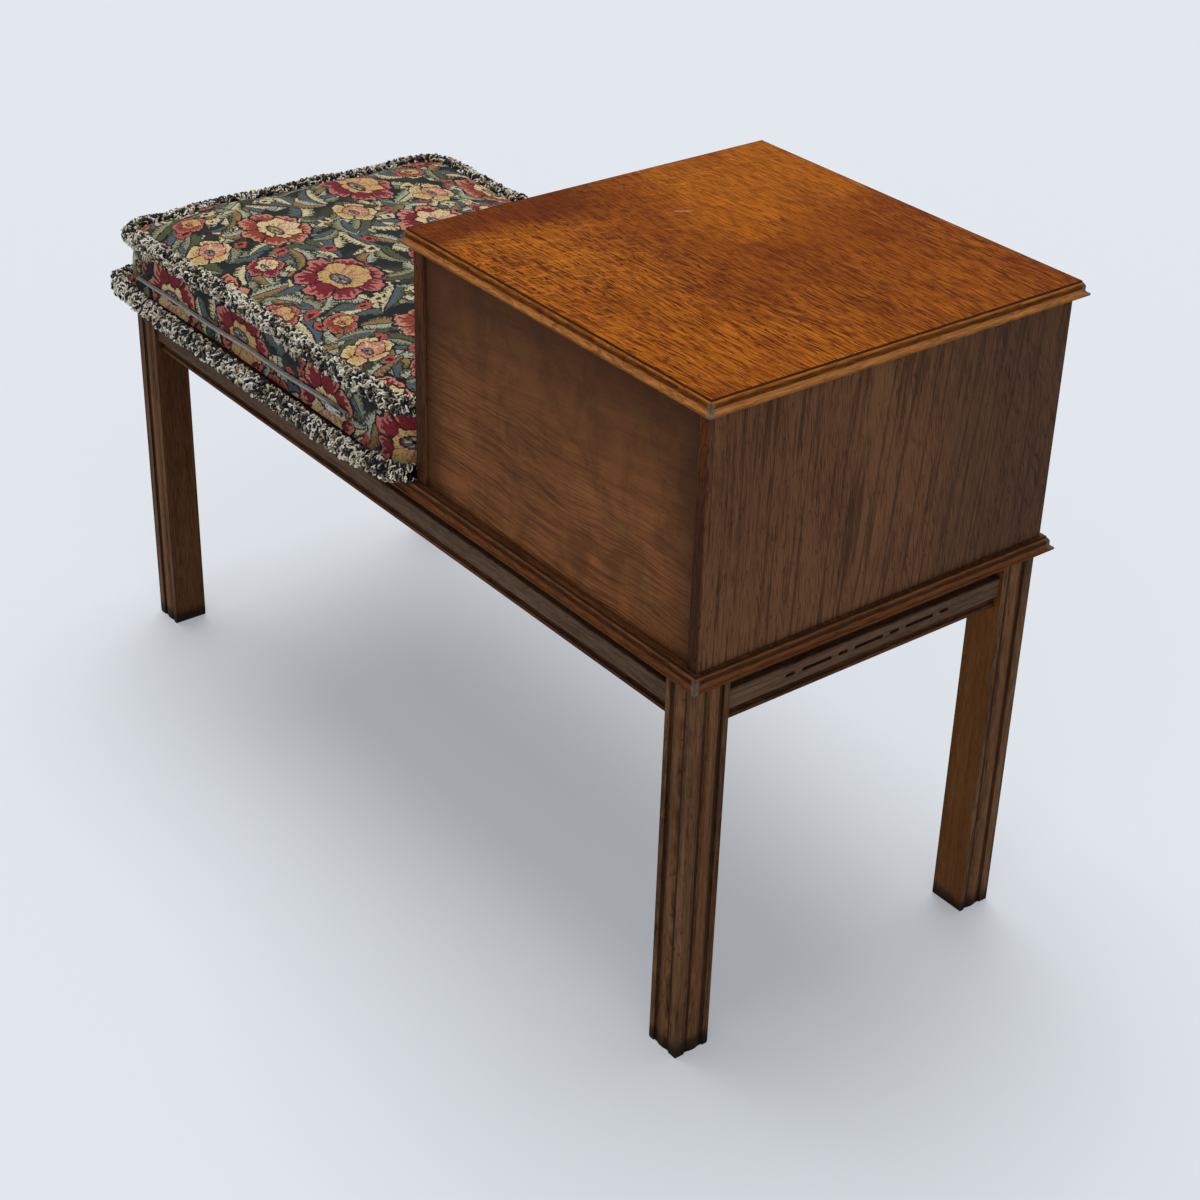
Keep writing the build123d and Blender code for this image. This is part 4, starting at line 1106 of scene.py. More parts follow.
# -------------------------------------------------------------------- cabinet
@dataclass
class Cabinet:
    """The cabinet's carcase, its moulded top and the directory bay."""

    fx: Effects
    top_oak: WoodFinish = WoodFinish(
        "oak_top", paint(78, 33, 8), paint(126, 61, 11), paint(184, 108, 28),
        paint(160, 98, 40), fleck=paint(206, 132, 44), fleck_share=0.7, pore_share=0.5,
        ring_share=0.08, dash_share=0.74, streak_share=0.0, blotch_share=0.3, specular=0.008,
        rough=0.42, wear_share=0.35, arris=0.0003)
    side_oak: WoodFinish = WoodFinish(
        "oak_side", paint(46, 28, 19), paint(104, 70, 47), paint(124, 87, 60),
        paint(136, 92, 54), ring_share=0.16, dash_share=0.2, streak_share=0.14,
        blotch_share=0.3)
    post: Colour = paint(84, 46, 22)
    post_foot: Colour = paint(62, 37, 22)
    shelf_oak: WoodFinish = WoodFinish(
        "oak_side_inner", paint(54, 32, 16), paint(90, 58, 32), paint(122, 82, 46),
        paint(150, 104, 58))
    back_ply: WoodFinish = WoodFinish(
        "ply_panel", paint(70, 41, 23), paint(132, 82, 48), paint(154, 102, 60),
        paint(130, 92, 60), pore_share=0.14, ring_share=0.3, dash_share=0.09, streak_share=0.15,
        blotch_share=0.5)
    top: Moulded = Moulded(-0.2605, 0.2006, 0.1986)
    top_base: float = 0.610
    scratch: tuple[float, float, float] = (-0.162, -0.021, 0.622)
    scratch_way: tuple[float, float] = (0.573, 0.819)
    top_glaze: Colour = (0.9, 0.85, 0.78, 1.0)
    top_dark: Colour = paint(104, 42, 8)

    def top_touch(self, wood: Wood) -> Field:
        """Flecks by the seat, darker clouds, a golden front, a scratch, and painted light and shade
        on the moulding.

        Args:
            wood: The material being made.

        Returns:
            The altered colour.
        """
        g = wood.g
        x, y, _ = g.split(wood.place)
        cloud = g.noise(wood.place, 11.0, 3.0) - 0.5
        figured = x + y * 0.55 + cloud * 0.22
        region = g.span(figured, -0.3, -0.1, 0.25, 1.0)
        colour = g.blend(wood.oak["Fleck"] * region * wood.finish.fleck_share, wood.colour,
                         wood.finish.fleck)
        inside = g.math("MINIMUM", x + 0.25, -0.01 - y) + cloud * 0.2
        band = g.span(inside, -0.12, -0.01) * g.span(inside, 0.03, 0.0)
        colour = g.blend(band * 0.5, colour, self.top_dark)
        colour = g.blend(g.span(inside, -0.03, 0.06, 0.0, 0.3), colour, paint(182, 104, 18))
        deep = g.span(x, -0.25, -0.36) * g.span(y, 0.06, -0.03)
        colour = g.blend(deep * 0.34, colour, paint(102, 44, 14))
        red = g.span(g.noise(wood.place, 17.0, 2.0, 0.5), 0.5, 0.72)
        colour = g.blend(red * 0.3, colour, self.top_dark)
        side_x, side_y, _ = g.split(g.vector("SUBTRACT", wood.place, self.scratch))
        way_x, way_y = self.scratch_way
        bow = side_y * way_x - side_x * way_y
        length = abs(side_x * way_x + side_y * way_y)
        rubbed = g.noise(wood.place, 420.0, 2.0)
        mark = g.span(abs(bow), 0.0022, 0.0006) * g.span(length, 0.0105, 0.005)
        mark = mark * g.span(rubbed, 0.4, 0.6, 0.15, 0.5)
        colour = g.blend(mark, colour, paint(200, 176, 150))
        shaded = g.span(y, -0.03, 0.05) * g.span(x + cloud * 0.06, -0.145, -0.09)
        colour = g.blend(shaded * 0.78, colour, paint(88, 36, 10))
        colour = g.blend(1.0, colour, self.top_glaze, "MULTIPLY")
        # The moulding's bands are painted light and shade, with a painted highlight where the rim
        # faces the end.
        return replace(wood, colour=colour).mould_light_and_shade(
            self.top_base, paint(132, 84, 46), paint(176, 116, 62), paint(80, 44, 20),
            paint(156, 96, 44), paint(20, 9, 3))

    def back_edges(self, wood: Wood) -> Field:
        """Figure the sides' faces, and leave their back edges an orange brown.

        Args:
            wood: The material being made.

        Returns:
            The altered colour.
        """
        g = wood.g
        ny = g.split(g.facing())[1]
        tone = g.span(wood.oak["Dash"], 0.3, 0.7, 0.7, 1.25, smooth=False)
        y, z = g.split(wood.place)[1:]
        edge = g.blend(g.span(z, 0.52, 0.58), self.post_foot, self.post)
        edge = g.shade(edge, tone)
        leant = y + z * g.span(y, 0.19, -0.06, 0.0, 0.09)
        figure = g.noise(g.join(leant * 250.0, z * 7.5), 1.0, 3.0, 0.62, 0.25, flat=True)
        colour = g.blend(g.span(figure, 0.48, 0.66, 0.0, 0.62), wood.colour, paint(50, 34, 26))
        cloud = g.noise(wood.place, 14.0, 3.0) * 0.1
        grey = g.span(y + cloud, 0.03, -0.06) * 0.42
        colour = g.blend(grey, colour, paint(56, 43, 35))
        return g.blend(g.span(ny, 0.6, 0.8), colour, edge)

    def panel_touch(self, wood: Wood) -> Field:
        """Cloud the back panel, line its foot with grain, and paint shade under the top and dirt
        with painted shade along its edges.

        Args:
            wood: The material being made.

        Returns:
            The altered colour.
        """
        g = wood.g
        x, y, z = g.split(wood.place)
        cloudy = g.join(x * 30.0, y, z * 22.0)
        cloud = g.noise(cloudy, 1.0, 4.0, 0.6, 0.5)
        colour = g.blend(g.span(cloud, 0.42, 0.66, 0.0, 0.46), wood.colour, paint(74, 46, 28))
        light = g.noise(g.vector("ADD", cloudy, (7.0, 0.0, 3.0)), 1.3, 3.0, 0.55)
        colour = g.blend(g.span(light, 0.52, 0.72, 0.0, 0.42), colour, paint(138, 96, 58))
        bend = g.noise(g.join(x * 9.0, y, z * 22.0), 1.0, 2.0) * 0.022
        lines = g.noise(g.join(x * 14.0, 0.0, (z + bend) * 620.0), 1.0, 2.0)
        low = g.span(z + x * -0.15, 0.6, 0.5)
        colour = g.blend(g.span(lines, 0.48, 0.6) * (low * 0.62), colour, paint(72, 42, 25))
        # Dirt and painted shade along the panel's edges, where it meets the posts and the top.
        side = g.math("MINIMUM", x + 0.4395, -0.0815 - x)
        head = 0.61 - z
        wander = g.noise(wood.place, 22.0, 3.0) * 0.02
        edge = g.math("MINIMUM", side, head) + wander
        # Painted shade under the top's overhang, darker towards the top.
        colour = g.blend(g.span(z, 0.465, 0.58, 0.0, 0.62), colour, paint(66, 42, 26))
        return g.blend(g.span(edge, 0.06, 0.008, 0.0, 0.6), colour, paint(56, 36, 22))

    def dress(self) -> None:
        """Give each piece its wood."""
        fx = self.fx
        dress(self.top_oak.material(fx, Grain.LENGTH, 1, Sawn(-0.9, 0.05, 0.0, 150.0, 0.008, -0.96),
                                    self.top, touch=self.top_touch), "top_board")
        dress(self.side_oak.material(fx, Grain.UPRIGHT_END, 2,
                                     Sawn(-0.26, -0.1, 0.08, 190.0, 0.007),
                                     touch=self.back_edges), "cabinet_end_side")
        dress(self.side_oak.material(fx, Grain.UPRIGHT_END, 3, Sawn(0.35, 0.1, 0.0, 200.0),
                                     name="oak_side_seat", touch=self.back_edges),
              "cabinet_seat_side")
        dress(self.back_ply.material(fx, Grain.LENGTH, 4, Sawn(0.9, 0.3, 0.1, 90.0),
                                     touch=self.panel_touch), "cabinet_back")
        dress(self.shelf_oak.material(fx, Grain.LENGTH, 5, Sawn(0.5, 0.1, 0.0, 150.0),
                                      name="oak_shelf"), "cabinet_shelf", "cabinet_front_rail")
        dress(RAW_WOOD.material(fx, Grain.LENGTH, 6, name="raw_wood_small"),
              "cabinet_dowels", "top_battens", "drawer_stops")


# --------------------------------------------------------------------- drawer
@dataclass
class Drawer:
    """The drawer and its swan-neck handle."""

    fx: Effects
    front_oak: WoodFinish = WoodFinish(
        "oak_drawer_front", paint(60, 36, 20), paint(96, 62, 36), paint(126, 86, 52),
        paint(158, 110, 64), fleck_share=0.2)
    wall_wood: WoodFinish = WoodFinish(
        "raw_wood_drawer", paint(128, 94, 60), paint(170, 132, 90), paint(194, 158, 112),
        paint(200, 166, 122), specular=0.15, rough=0.66, wear_share=0.2)
    floor_ply: WoodFinish = WoodFinish(
        "ply_inner", paint(146, 108, 70), paint(184, 146, 100), paint(204, 168, 122),
        paint(206, 172, 128), specular=0.12, rough=0.7)
    brass: MetalFinish = MetalFinish("brass", paint(206, 164, 88), paint(128, 92, 46))
    steel: MetalFinish = MetalFinish("steel", paint(178, 176, 170), paint(110, 106, 98), 0.36)

    def dress(self) -> None:
        """Give each piece its wood or metal."""
        fx = self.fx
        dress(self.front_oak.material(fx, Grain.LENGTH, 1, Sawn(0.2, 0.02, 0.06, 240.0)),
              "drawer_front")
        dress(self.wall_wood.material(fx, Grain.DEPTH, 2, name="raw_wood_walls"),
              "drawer_side_end", "drawer_side_seat")
        dress(self.wall_wood.material(fx, Grain.LENGTH, 3, name="raw_wood_back"), "drawer_back")
        dress(self.floor_ply.material(fx, Grain.DEPTH, 4), "drawer_bottom")
        dress(self.brass.material(fx), "handle_plate", "handle_posts", "handle_bail")
        dress(self.steel.material(fx), "handle_nuts", "top_screws", "block_screws")


# -------------------------------------------------------------------- cushion
def stood(name: str, data: bpy.types.ID) -> bpy.types.Object:
    """Put new data into the scene as an object at the origin."""
    piece = bpy.data.objects.new(name, data)
    bpy.context.scene.collection.objects.link(piece)
    return piece


def mesh_object(name: str, vertices: Iterable[Sequence[float]],
                faces: Iterable[Sequence[int]]) -> bpy.types.Object:
    """Make a mesh object at the origin.

    Args:
        name: The object's name.
        vertices: Places in metres.
        faces: Corner numbers of each face.

    Returns:
        The object.
    """
    mesh = bpy.data.meshes.new(name)
    mesh.from_pydata([tuple(point) for point in vertices], [], [tuple(face) for face in faces])
    mesh.validate()
    return stood(name, mesh)


def poly_curve(name: str, rows: Sequence[Sequence[float]],
               closed: bool = False) -> bpy.types.Object:
    """Make a curve of straight stretches at the origin.

    Args:
        name: The curve's name.
        rows: Its points in metres.
        closed: Runs back to its start.

    Returns:
        The object.
    """
    curve = bpy.data.curves.new(name, "CURVE")
    curve.dimensions = "3D"
    spline = curve.splines.new("POLY")
    spline.points.add(len(rows) - 1)
    spline.use_cyclic_u = closed
    flat = np.column_stack([np.array(rows), np.ones(len(rows))]).astype(np.float32)
    spline.points.foreach_set("co", flat.ravel())
    return stood(name, curve)


def settled(piece: bpy.types.Object) -> None:
    """Turn a piece's modifiers into its plain mesh.

    Args:
        piece: The piece, whose modifiers are then gone.
    """
    shown = piece.evaluated_get(bpy.context.evaluated_depsgraph_get())
    mesh = bpy.data.meshes.new_from_object(shown)
    piece.modifiers.clear()
    piece.data = mesh
    for polygon in mesh.polygons:
        polygon.use_smooth = True


def points_of(mesh: bpy.types.Mesh) -> np.ndarray:
    """The mesh's vertices as rows of x, y and z."""
    flat = np.empty(len(mesh.vertices) * 3)
    mesh.vertices.foreach_get("co", flat)
    return flat.reshape(-1, 3)


def set_points(mesh: bpy.types.Mesh, places: np.ndarray) -> None:
    """Move the mesh's vertices."""
    mesh.vertices.foreach_set("co", places.astype(np.float32).ravel())
    mesh.update()


def eased(value: np.ndarray) -> np.ndarray:
    """Smooth step of values clamped to 0 and 1."""
    share = np.clip(value, 0.0, 1.0)
    return share * share * (3 - 2 * share)


@dataclass
class Cushion:
    """The loose seat cushion: padded cover, two looped fringes and a zip."""

    fx: Effects
    foot_x: tuple[float, float] = (-0.0627, 0.46585)
    foot_y: float = 0.19545
    foot_z: float = 0.3948
    head_z: float = 0.4423
    low: float = 0.3888
    corner: float = 0.030
    draw_long: float = 0.0040
    draw_short: float = 0.0025
    wall_inset: float = 0.0024
    crown: float = 0.0145
    crown_run: float = 0.150
    head_inset: float = 0.0025
    foot_inset: float = -0.0102
    corner_drop: float = 0.003
    back_lift: float = 0.0042
    hang: float = 0.0065
    flare: float = 0.0078
    cabinet_lift: float = 0.006
    voxel: float = 0.005
    held_rim: float = 0.007
    held_seam: float = 0.0042
    held_zip: float = 0.0055
    swell_cap: float = 0.006
    zip_start: tuple[float, float] = (0.033, 0.4115)
    zip_length: float = 0.395
    zip_fall: float = 0.0067
    zip_y: float = 0.19395
    cabinet_face: float = -0.0688
    cover: Optional[bpy.types.Object] = None

    @property
    def centre_x(self) -> float:
        """Middle of the cushion's length."""
        return sum(self.foot_x) / 2

    def outline(self, inset: float, drawn: float = 1.0) -> np.ndarray:
        """Rounded rectangle with drawn-in sides, as rows of x and y.

        Args:
            inset: How far inside the foot fringe's line.
            drawn: Share of the sides' draw.

        Returns:
            The points, anticlockwise from above.
        """
        half_x = (self.foot_x[1] - self.foot_x[0]) / 2 - inset
        half_y = self.foot_y - inset
        radius = max(self.corner - inset * 0.4, 0.004)
        side, turn = 30, 12

        def on_corner(number: int, degrees: float) -> tuple[float, float]:
            """A point on the arc of one corner."""
            i, j = ((1, 1), (-1, 1), (-1, -1), (1, -1))[number % 4]
            angle = math.radians(degrees)
            return (i * (half_x - radius) + radius * math.cos(angle),
                    j * (half_y - radius) + radius * math.sin(angle))

        rows = []
        for number in range(4):
            start = 90 * number
            rows += [on_corner(number, start + 90 * step / turn) for step in range(turn + 1)]
            here, there = rows[-1], on_corner(number + 1, start + 90)
            for step in range(1, side):
                share = step / side
                rows.append(tuple(a + (b - a) * share for a, b in zip(here, there)))
        points = np.array(rows)
        fade_x = np.clip(1 - (points[:, 0] / half_x) ** 2, 0, 1)
        fade_y = np.clip(1 - (points[:, 1] / half_y) ** 2, 0, 1)
        points[:, 1] -= np.sign(points[:, 1]) * self.draw_long * drawn * fade_x
        points[:, 0] -= np.sign(points[:, 0]) * self.draw_short * drawn * fade_y
        points[:, 0] += self.centre_x
        return points

    def seam_shift(self, x: np.ndarray, y: np.ndarray) -> np.ndarray:
        """How far the head seam lies above its level height.

        Args:
            x: Places along the bench.
            y: Places across it.

        Returns:
            The rise of each place, in metres.
        """
        lift = (self.cabinet_lift * eased((0.12 - x) / 0.2)
                + self.back_lift * eased((y + 0.2) / 0.3))
        away = np.hypot(x - self.foot_x[1], y - self.foot_y)
        drop = self.corner_drop * np.exp(-(away / 0.1) ** 2)
        wave = 0.0009 * np.sin(x * 47 + 1.2) + 0.0008 * np.sin(y * 53 + x * 21)
        return lift - drop + wave

    def foot_shift(self, x: np.ndarray, y: np.ndarray) -> np.ndarray:
        """How far the foot fringe hangs down beside the board, kept up at its corners.

        Args:
            x: Places along the bench.
            y: Places across it.

        Returns:
            The rise of each place, in metres, which is never above 0.
        """
        away = np.hypot(x - self.foot_x[1], np.abs(y) - self.foot_y)
        kept_up = np.exp(-(away / 0.05) ** 2)
        return -self.hang * eased((x + 0.035) / 0.05) * (1.0 - kept_up)

    def build_cover(self) -> bpy.types.Object:
        """Loft the cover, remesh it and let it swell under its filling.

        Returns:
            The padded cover.
        """
        quarter = (self.head_z - self.foot_z) / 4
        band = 0.0032
        wall = self.wall_inset
        levels = [(self.low, wall + 0.008, 1.0), (self.low + 0.003, wall + 0.0027, 1.0),
                  (self.foot_z + band, wall, 1.0), (self.foot_z + quarter, wall, 0.3),
                  (self.head_z - quarter, wall + 0.0006, 0.3),
                  (self.head_z - band, wall + 0.0016, 1.0), (self.head_z, wall + 0.005, 1.0)]
        steps = 12
        for step in range(steps + 1):
            angle = math.radians(90 * step / steps)
            levels.append((self.head_z + band + (self.crown - band) * math.sin(angle),
                           wall + 0.007 + self.crown_run * (1 - math.cos(angle)),
                           math.cos(angle)))
        rows, faces = [], []
        for z, inset, drawn in levels:
            points = self.outline(inset, drawn)
            rows.append(np.column_stack([points, np.full(len(points), z)]))
        count = len(rows[0])
        for level in range(len(rows) - 1):
            for k in range(count):
                a, b = level * count + k, level * count + (k + 1) % count
                faces.append((a, b, b + count, a + count))
        faces.append(tuple(reversed(range(count))))
        faces.append(tuple(range((len(rows) - 1) * count, len(rows) * count)))
        places = np.vstack(rows)
        share = eased((places[:, 2] - self.foot_z) / (self.head_z - self.foot_z))
        places[:, 2] += share * self.seam_shift(places[:, 0], places[:, 1])
        cover = mesh_object("cushion_cover", places, faces)
        remesh = cover.modifiers.new("even", "REMESH")
        remesh.mode = "VOXEL"
        remesh.voxel_size = self.voxel
        settled(cover)
        self.swell(cover)
        self.lay_cloth(cover)
        divide = cover.modifiers.new("finer", "SUBSURF")
        divide.levels = divide.render_levels = 1
        settled(cover)
        return cover

    def flare_foot(self, cover: bpy.types.Object) -> None:
        """Spread the foot of the wall over the board's edge, out to its fringe.

        Args:
            cover: The finished cover.
        """
        places = points_of(cover.data)
        x, y, z = places.T
        under_zip, fade, run = self.zip_start[1] - self.zip_fall - 0.0028, 0.012, 0.035
        low = eased((under_zip - z) / fade) * self.flare
        places[:, 1] += np.sign(y) * low * eased((np.abs(y) - 0.15) / run)
        places[:, 0] += low * eased((x - 0.42) / run)
        set_points(cover.data, places)

    def held(self, places: np.ndarray) -> np.ndarray:
        """Which points the seams, the board and the zip hold.

        Args:
            places: The cover's vertices.

        Returns:
            True for each point that stays.
        """
        x, y, z = places.T
        seam = self.head_z + self.seam_shift(x, y)
        line = self.outline(self.wall_inset + 0.004)
        far = np.full(len(places), FAR)
        for px, py in line:
            far = np.minimum(far, (x - px) ** 2 + (y - py) ** 2)
        head = (np.sqrt(far) < self.held_rim) & (np.abs(z - seam) < self.held_seam)
        foot = z < self.foot_z + 0.002
        zip_at = self.zip_start[1] - (x - self.zip_start[0]) * self.zip_fall / self.zip_length
        on_zip = (y > 0.18) & (np.abs(z - zip_at) < self.held_zip) & (x > 0.02) & (x < 0.44)
        return head | foot | on_zip

    def swell(self, cover: bpy.types.Object) -> None:
        """Blow the cover up as cloth, held at its seams.

        Args:
            cover: The remeshed cover.
        """
        start = points_of(cover.data)
        pins = np.flatnonzero(self.held(start))
        group = cover.vertex_groups.new(name="seams")
        group.add(pins.tolist(), 1.0, "REPLACE")
        cloth = cover.modifiers.new("swell", "CLOTH")
        cloth.settings.vertex_group_mass = "seams"
        cloth.settings.use_pressure = True
        cloth.settings.uniform_pressure_force = 4.0
        cloth.settings.effector_weights.gravity = 0.0
        cloth.settings.shrink_min = -0.012
        cloth.settings.bending_stiffness = 0.6
        cloth.settings.quality = 4
        last = 20
        cloth.point_cache.frame_start = 1
        cloth.point_cache.frame_end = last
        scene = bpy.context.scene
        for number in range(1, last + 1):
            scene.frame_set(number)
        shown = cover.evaluated_get(bpy.context.evaluated_depsgraph_get())
        mesh = bpy.data.meshes.new_from_object(shown)
        moved = points_of(mesh)
        cover.modifiers.clear()
        cover.vertex_groups.clear()
        scene.frame_set(1)
        step = moved - start
        length = np.linalg.norm(step, axis=1, keepdims=True)
        step *= np.minimum(1.0, self.swell_cap / np.maximum(length, 1e-9))
        set_points(cover.data, start + step)
        LOG.info("cover swelled by up to %.1f mm", 1000 * float(np.linalg.norm(step, axis=1).max()))

    def lay_cloth(self, cover: bpy.types.Object) -> None:
        """Map the cloth in metres: flat on the top, round the boxing.

        Args:
            cover: The cover before it is divided.
        """
        mesh = cover.data
        places = points_of(mesh)
        x, y, z = places.T
        line = self.outline(self.wall_inset)
        steps = np.linalg.norm(np.roll(line, -1, axis=0) - line, axis=1)
        run = np.concatenate([[0.0], np.cumsum(steps)])
        best = np.full(len(places), FAR)
        along = np.zeros(len(places))
        for k in range(len(line)):
            a, b = line[k], line[(k + 1) % len(line)]
            span = b - a
            t = np.clip(((x - a[0]) * span[0] + (y - a[1]) * span[1]) / (span @ span), 0, 1)
            away = np.hypot(x - a[0] - t * span[0], y - a[1] - t * span[1])
            nearer = away < best
            best[nearer] = away[nearer]
            along[nearer] = run[k] + t[nearer] * steps[k]
        seam = self.head_z + self.seam_shift(x, y)
        corners = np.empty(len(mesh.loops), dtype=np.int64)
        mesh.loops.foreach_get("vertex_index", corners)
        starts = np.empty(len(mesh.polygons), dtype=np.int64)
        totals = np.empty(len(mesh.polygons), dtype=np.int64)
        mesh.polygons.foreach_get("loop_start", starts)
        mesh.polygons.foreach_get("loop_total", totals)
        owner = np.repeat(np.arange(len(starts)), totals)
        above = np.bincount(owner, (z - seam)[corners]) / totals
        rim = np.bincount(owner, best[corners]) / totals
        on_top = (above > 0.0) | (rim > 0.012)
        top_at, wall_at = 1.0, 3.03
        cloth = np.column_stack([x[corners] + top_at, y[corners] + top_at])
        wall = ~on_top[owner]
        far = along[corners]
        lowest = np.full(len(starts), FAR)
        np.minimum.at(lowest, owner, far)
        highest = np.zeros(len(starts))
        np.maximum.at(highest, owner, far)
        crosses = (highest - lowest > run[-1] / 2)[owner] & (far < run[-1] / 2)
        far = far + crosses * run[-1]
        cloth[wall] = np.column_stack([far, z[corners] - self.foot_z + wall_at])[wall]
        layer = mesh.uv_layers.new(name="cloth")
        layer.data.foreach_set("uv", cloth.astype(np.float32).ravel())

    def seam_curve(self, name: str, inset: float, z: float, head: bool) -> bpy.types.Object:
        """A closed curve along one of the fringes.

        Args:
            name: The curve's name.
            inset: How far inside the foot fringe's line.
            z: Its level height.
            head: Follows the head seam, or else hangs beside the board.

        Returns:
            The curve's object.
        """
        points = self.outline(inset, 1.0 if head else 0.0)
        points[:, 0] = np.maximum(points[:, 0], self.foot_x[0] - 0.0048)
        rise = (self.seam_shift if head else self.foot_shift)(points[:, 0], points[:, 1])
        return poly_curve(name, np.column_stack([points, z + rise]), closed=True)

    def loop_tree(self) -> bpy.types.NodeTree:
        """Geometry Nodes tree that grows looped yarn round a curve.

        Returns:
            The tree.
        """
        g, take, end = new_group("looped_fringe", [
            ("Path", Kind.SHAPE, None), ("Core Radius", Kind.NUMBER, 0.005),
            ("Density", Kind.NUMBER, 200000.0), ("Loop Width", Kind.NUMBER, 0.005),
            ("Loop Height", Kind.NUMBER, 0.004), ("Yarn Radius", Kind.NUMBER, 0.0008),
            ("Seed", Kind.COUNT, 3), ("Cabinet Face", Kind.NUMBER, self.cabinet_face),
            ("Board Top", Kind.NUMBER, BOARD_TOP), ("Board Half X", Kind.NUMBER, BOARD_HALF[0]),
            ("Board Half Y", Kind.NUMBER, BOARD_HALF[1]), ("Droop", Kind.NUMBER, 0.0),
            ("Finish", Kind.FINISH, None)],
            [("Fringe", Kind.SHAPE)], shader=False)

        def by_chance(seed: int, low: float = 0.0, high: float = 1.0) -> Field:
            """A number of its own for each loop."""
            node = g.add("FunctionNodeRandomValue", data_type="FLOAT")
            return g.out(g.put(g.fill(node, low, high, at=(2, 3)), Seed=seed), 1)

        def marked(shape: Value, value: Value, domain: str) -> bpy.types.Node:
            """Store what the yarn's colour is picked by."""
            node = g.add("GeometryNodeStoreNamedAttribute", data_type="FLOAT", domain=domain)
            return g.put(node, Geometry=shape, Name="loop", Value=value)

        even = g.put(g.add("GeometryNodeResampleCurve", mode="LENGTH"), Curve=take["Path"],
                     Length=0.006)
        ring = g.put(g.add("GeometryNodeCurvePrimitiveCircle"), Resolution=8,
                     Radius=take["Core Radius"])
        core = marked(g.put(g.add("GeometryNodeCurveToMesh"), Curve=even, Profile_Curve=ring),
                      0.1, "POINT")
        scatter = g.put(g.add("GeometryNodeDistributePointsOnFaces"), Mesh=core,
                        Density=take["Density"], Seed=take["Seed"])
        half = take["Loop Width"] * 0.5
        bow = g.put(g.add("GeometryNodeCurveQuadraticBezier"), Resolution=3,
                    Start=g.join(half * -1.0, 0.0, -0.0005),
                    Middle=g.join(0.0, 0.0, take["Loop Height"] * 2.0),
                    End=g.join(half, 0.0, -0.0005))
        yarn = g.put(g.add("GeometryNodeCurvePrimitiveCircle"), Resolution=3,
                     Radius=take["Yarn Radius"])
        loop = g.put(g.add("GeometryNodeCurveToMesh"), Curve=bow, Profile_Curve=yarn,
                     Fill_Caps=True)
        spin = g.fill(g.add("FunctionNodeRandomValue", data_type="FLOAT_VECTOR"),
                      (-0.7, -0.7, 0.0), (0.7, 0.7, TURN))
        turned = g.fill(g.add("FunctionNodeEulerToRotation"), g.put(spin, Seed=11))
        aimed = g.fill(g.add("FunctionNodeRotateRotation", rotation_space="LOCAL"),
                       g.out(scatter, "Rotation"), turned)
        loops = g.put(g.add("GeometryNodeInstanceOnPoints"), Points=scatter, Instance=loop,
                      Rotation=aimed, Scale=g.even(by_chance(12, 0.7, 1.35)))
        both = g.add("GeometryNodeJoinGeometry")
        g.feed(both.inputs[0], marked(loops, by_chance(13), "INSTANCE"))
        g.feed(both.inputs[0], core)
        real = g.put(g.add("GeometryNodeRealizeInstances"), Geometry=both)
        x, y, z = g.split(g.add("GeometryNodeInputPosition"))
        over = (abs(x) < take["Board Half X"]) * (abs(y) < take["Board Half Y"])
        lifted = g.math("MAXIMUM", z, take["Board Top"])
        beyond = g.math("MAXIMUM", abs(x) - take["Board Half X"], abs(y) - take["Board Half Y"])
        hung = z - take["Droop"] * g.math("MAXIMUM", beyond, 0.0)
        new_z = lifted * over + hung * (1.0 - over)
        pressed = g.put(g.add("GeometryNodeSetPosition"), Geometry=real,
                        Position=g.join(g.math("MAXIMUM", x, take["Cabinet Face"]), y, new_z))
        g.put(end, Fringe=g.put(g.add("GeometryNodeSetMaterial"), Geometry=pressed,
                                Material=take["Finish"]))
        return g.tree

    def build_fringe(self, tree: bpy.types.NodeTree, name: str, node: str, inset: float,
                     z: float, head: bool, finish: bpy.types.Material,
                     **sizes: float) -> bpy.types.Object:
        """Grow one fringe and stand it for its node.

        Args:
            tree: The fringe's Geometry Nodes tree.
            name: The piece's name.
            node: The CAD node that it replaces.
            inset: How far inside the foot fringe's line.
            z: Its level height.
            head: Follows the head seam, or else hangs beside the board.
            finish: Its material.
            **sizes: The tree's own sizes, an underscore standing for a space.

        Returns:
            The fringe.
        """
        path = self.seam_curve(name + "_path", inset, z, head)
        mesh = grown(path, tree, Finish=finish, **sizes)
        mesh.name = name
        piece = stood(name, mesh)
        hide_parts(node)
        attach(piece, "cushion")
        LOG.info("%s: %d faces", name, len(mesh.polygons))
        return piece

    def zip_point(self, x: float) -> tuple[float, float, float]:
        """A point on the middle of the zip's tape, wandering a little."""
        share = (x - self.zip_start[0]) / self.zip_length
        wander = 0.0009 * math.sin(share * 17) * math.sin(share * math.pi)
        return x, self.zip_y, self.zip_start[1] - share * self.zip_fall + wander

    def tooth_tree(self) -> bpy.types.NodeTree:
        """Geometry Nodes tree that sets teeth along a curve.

        Returns:
            The tree.
        """
        g, take, end = new_group("zip_teeth", [
            ("Path", Kind.SHAPE, None), ("Pitch", Kind.NUMBER, 0.0016),
            ("Across", Kind.NUMBER, 0.0026), ("Radius", Kind.NUMBER, 0.0006),
            ("Finish", Kind.FINISH, None)], [("Teeth", Kind.SHAPE)], shader=False)
        even = g.put(g.add("GeometryNodeCurveToPoints", mode="LENGTH"), Curve=take["Path"],
                     Length=take["Pitch"])
        tooth = g.put(g.add("GeometryNodeMeshCylinder"), Vertices=6, Radius=take["Radius"],
                      Depth=take["Across"])
        teeth = g.put(g.add("GeometryNodeInstanceOnPoints"), Points=even, Instance=tooth)
        real = g.put(g.add("GeometryNodeRealizeInstances"), Geometry=teeth)
        g.put(end, Teeth=g.put(g.add("GeometryNodeSetMaterial"), Geometry=real,
                               Material=take["Finish"]))
        return g.tree

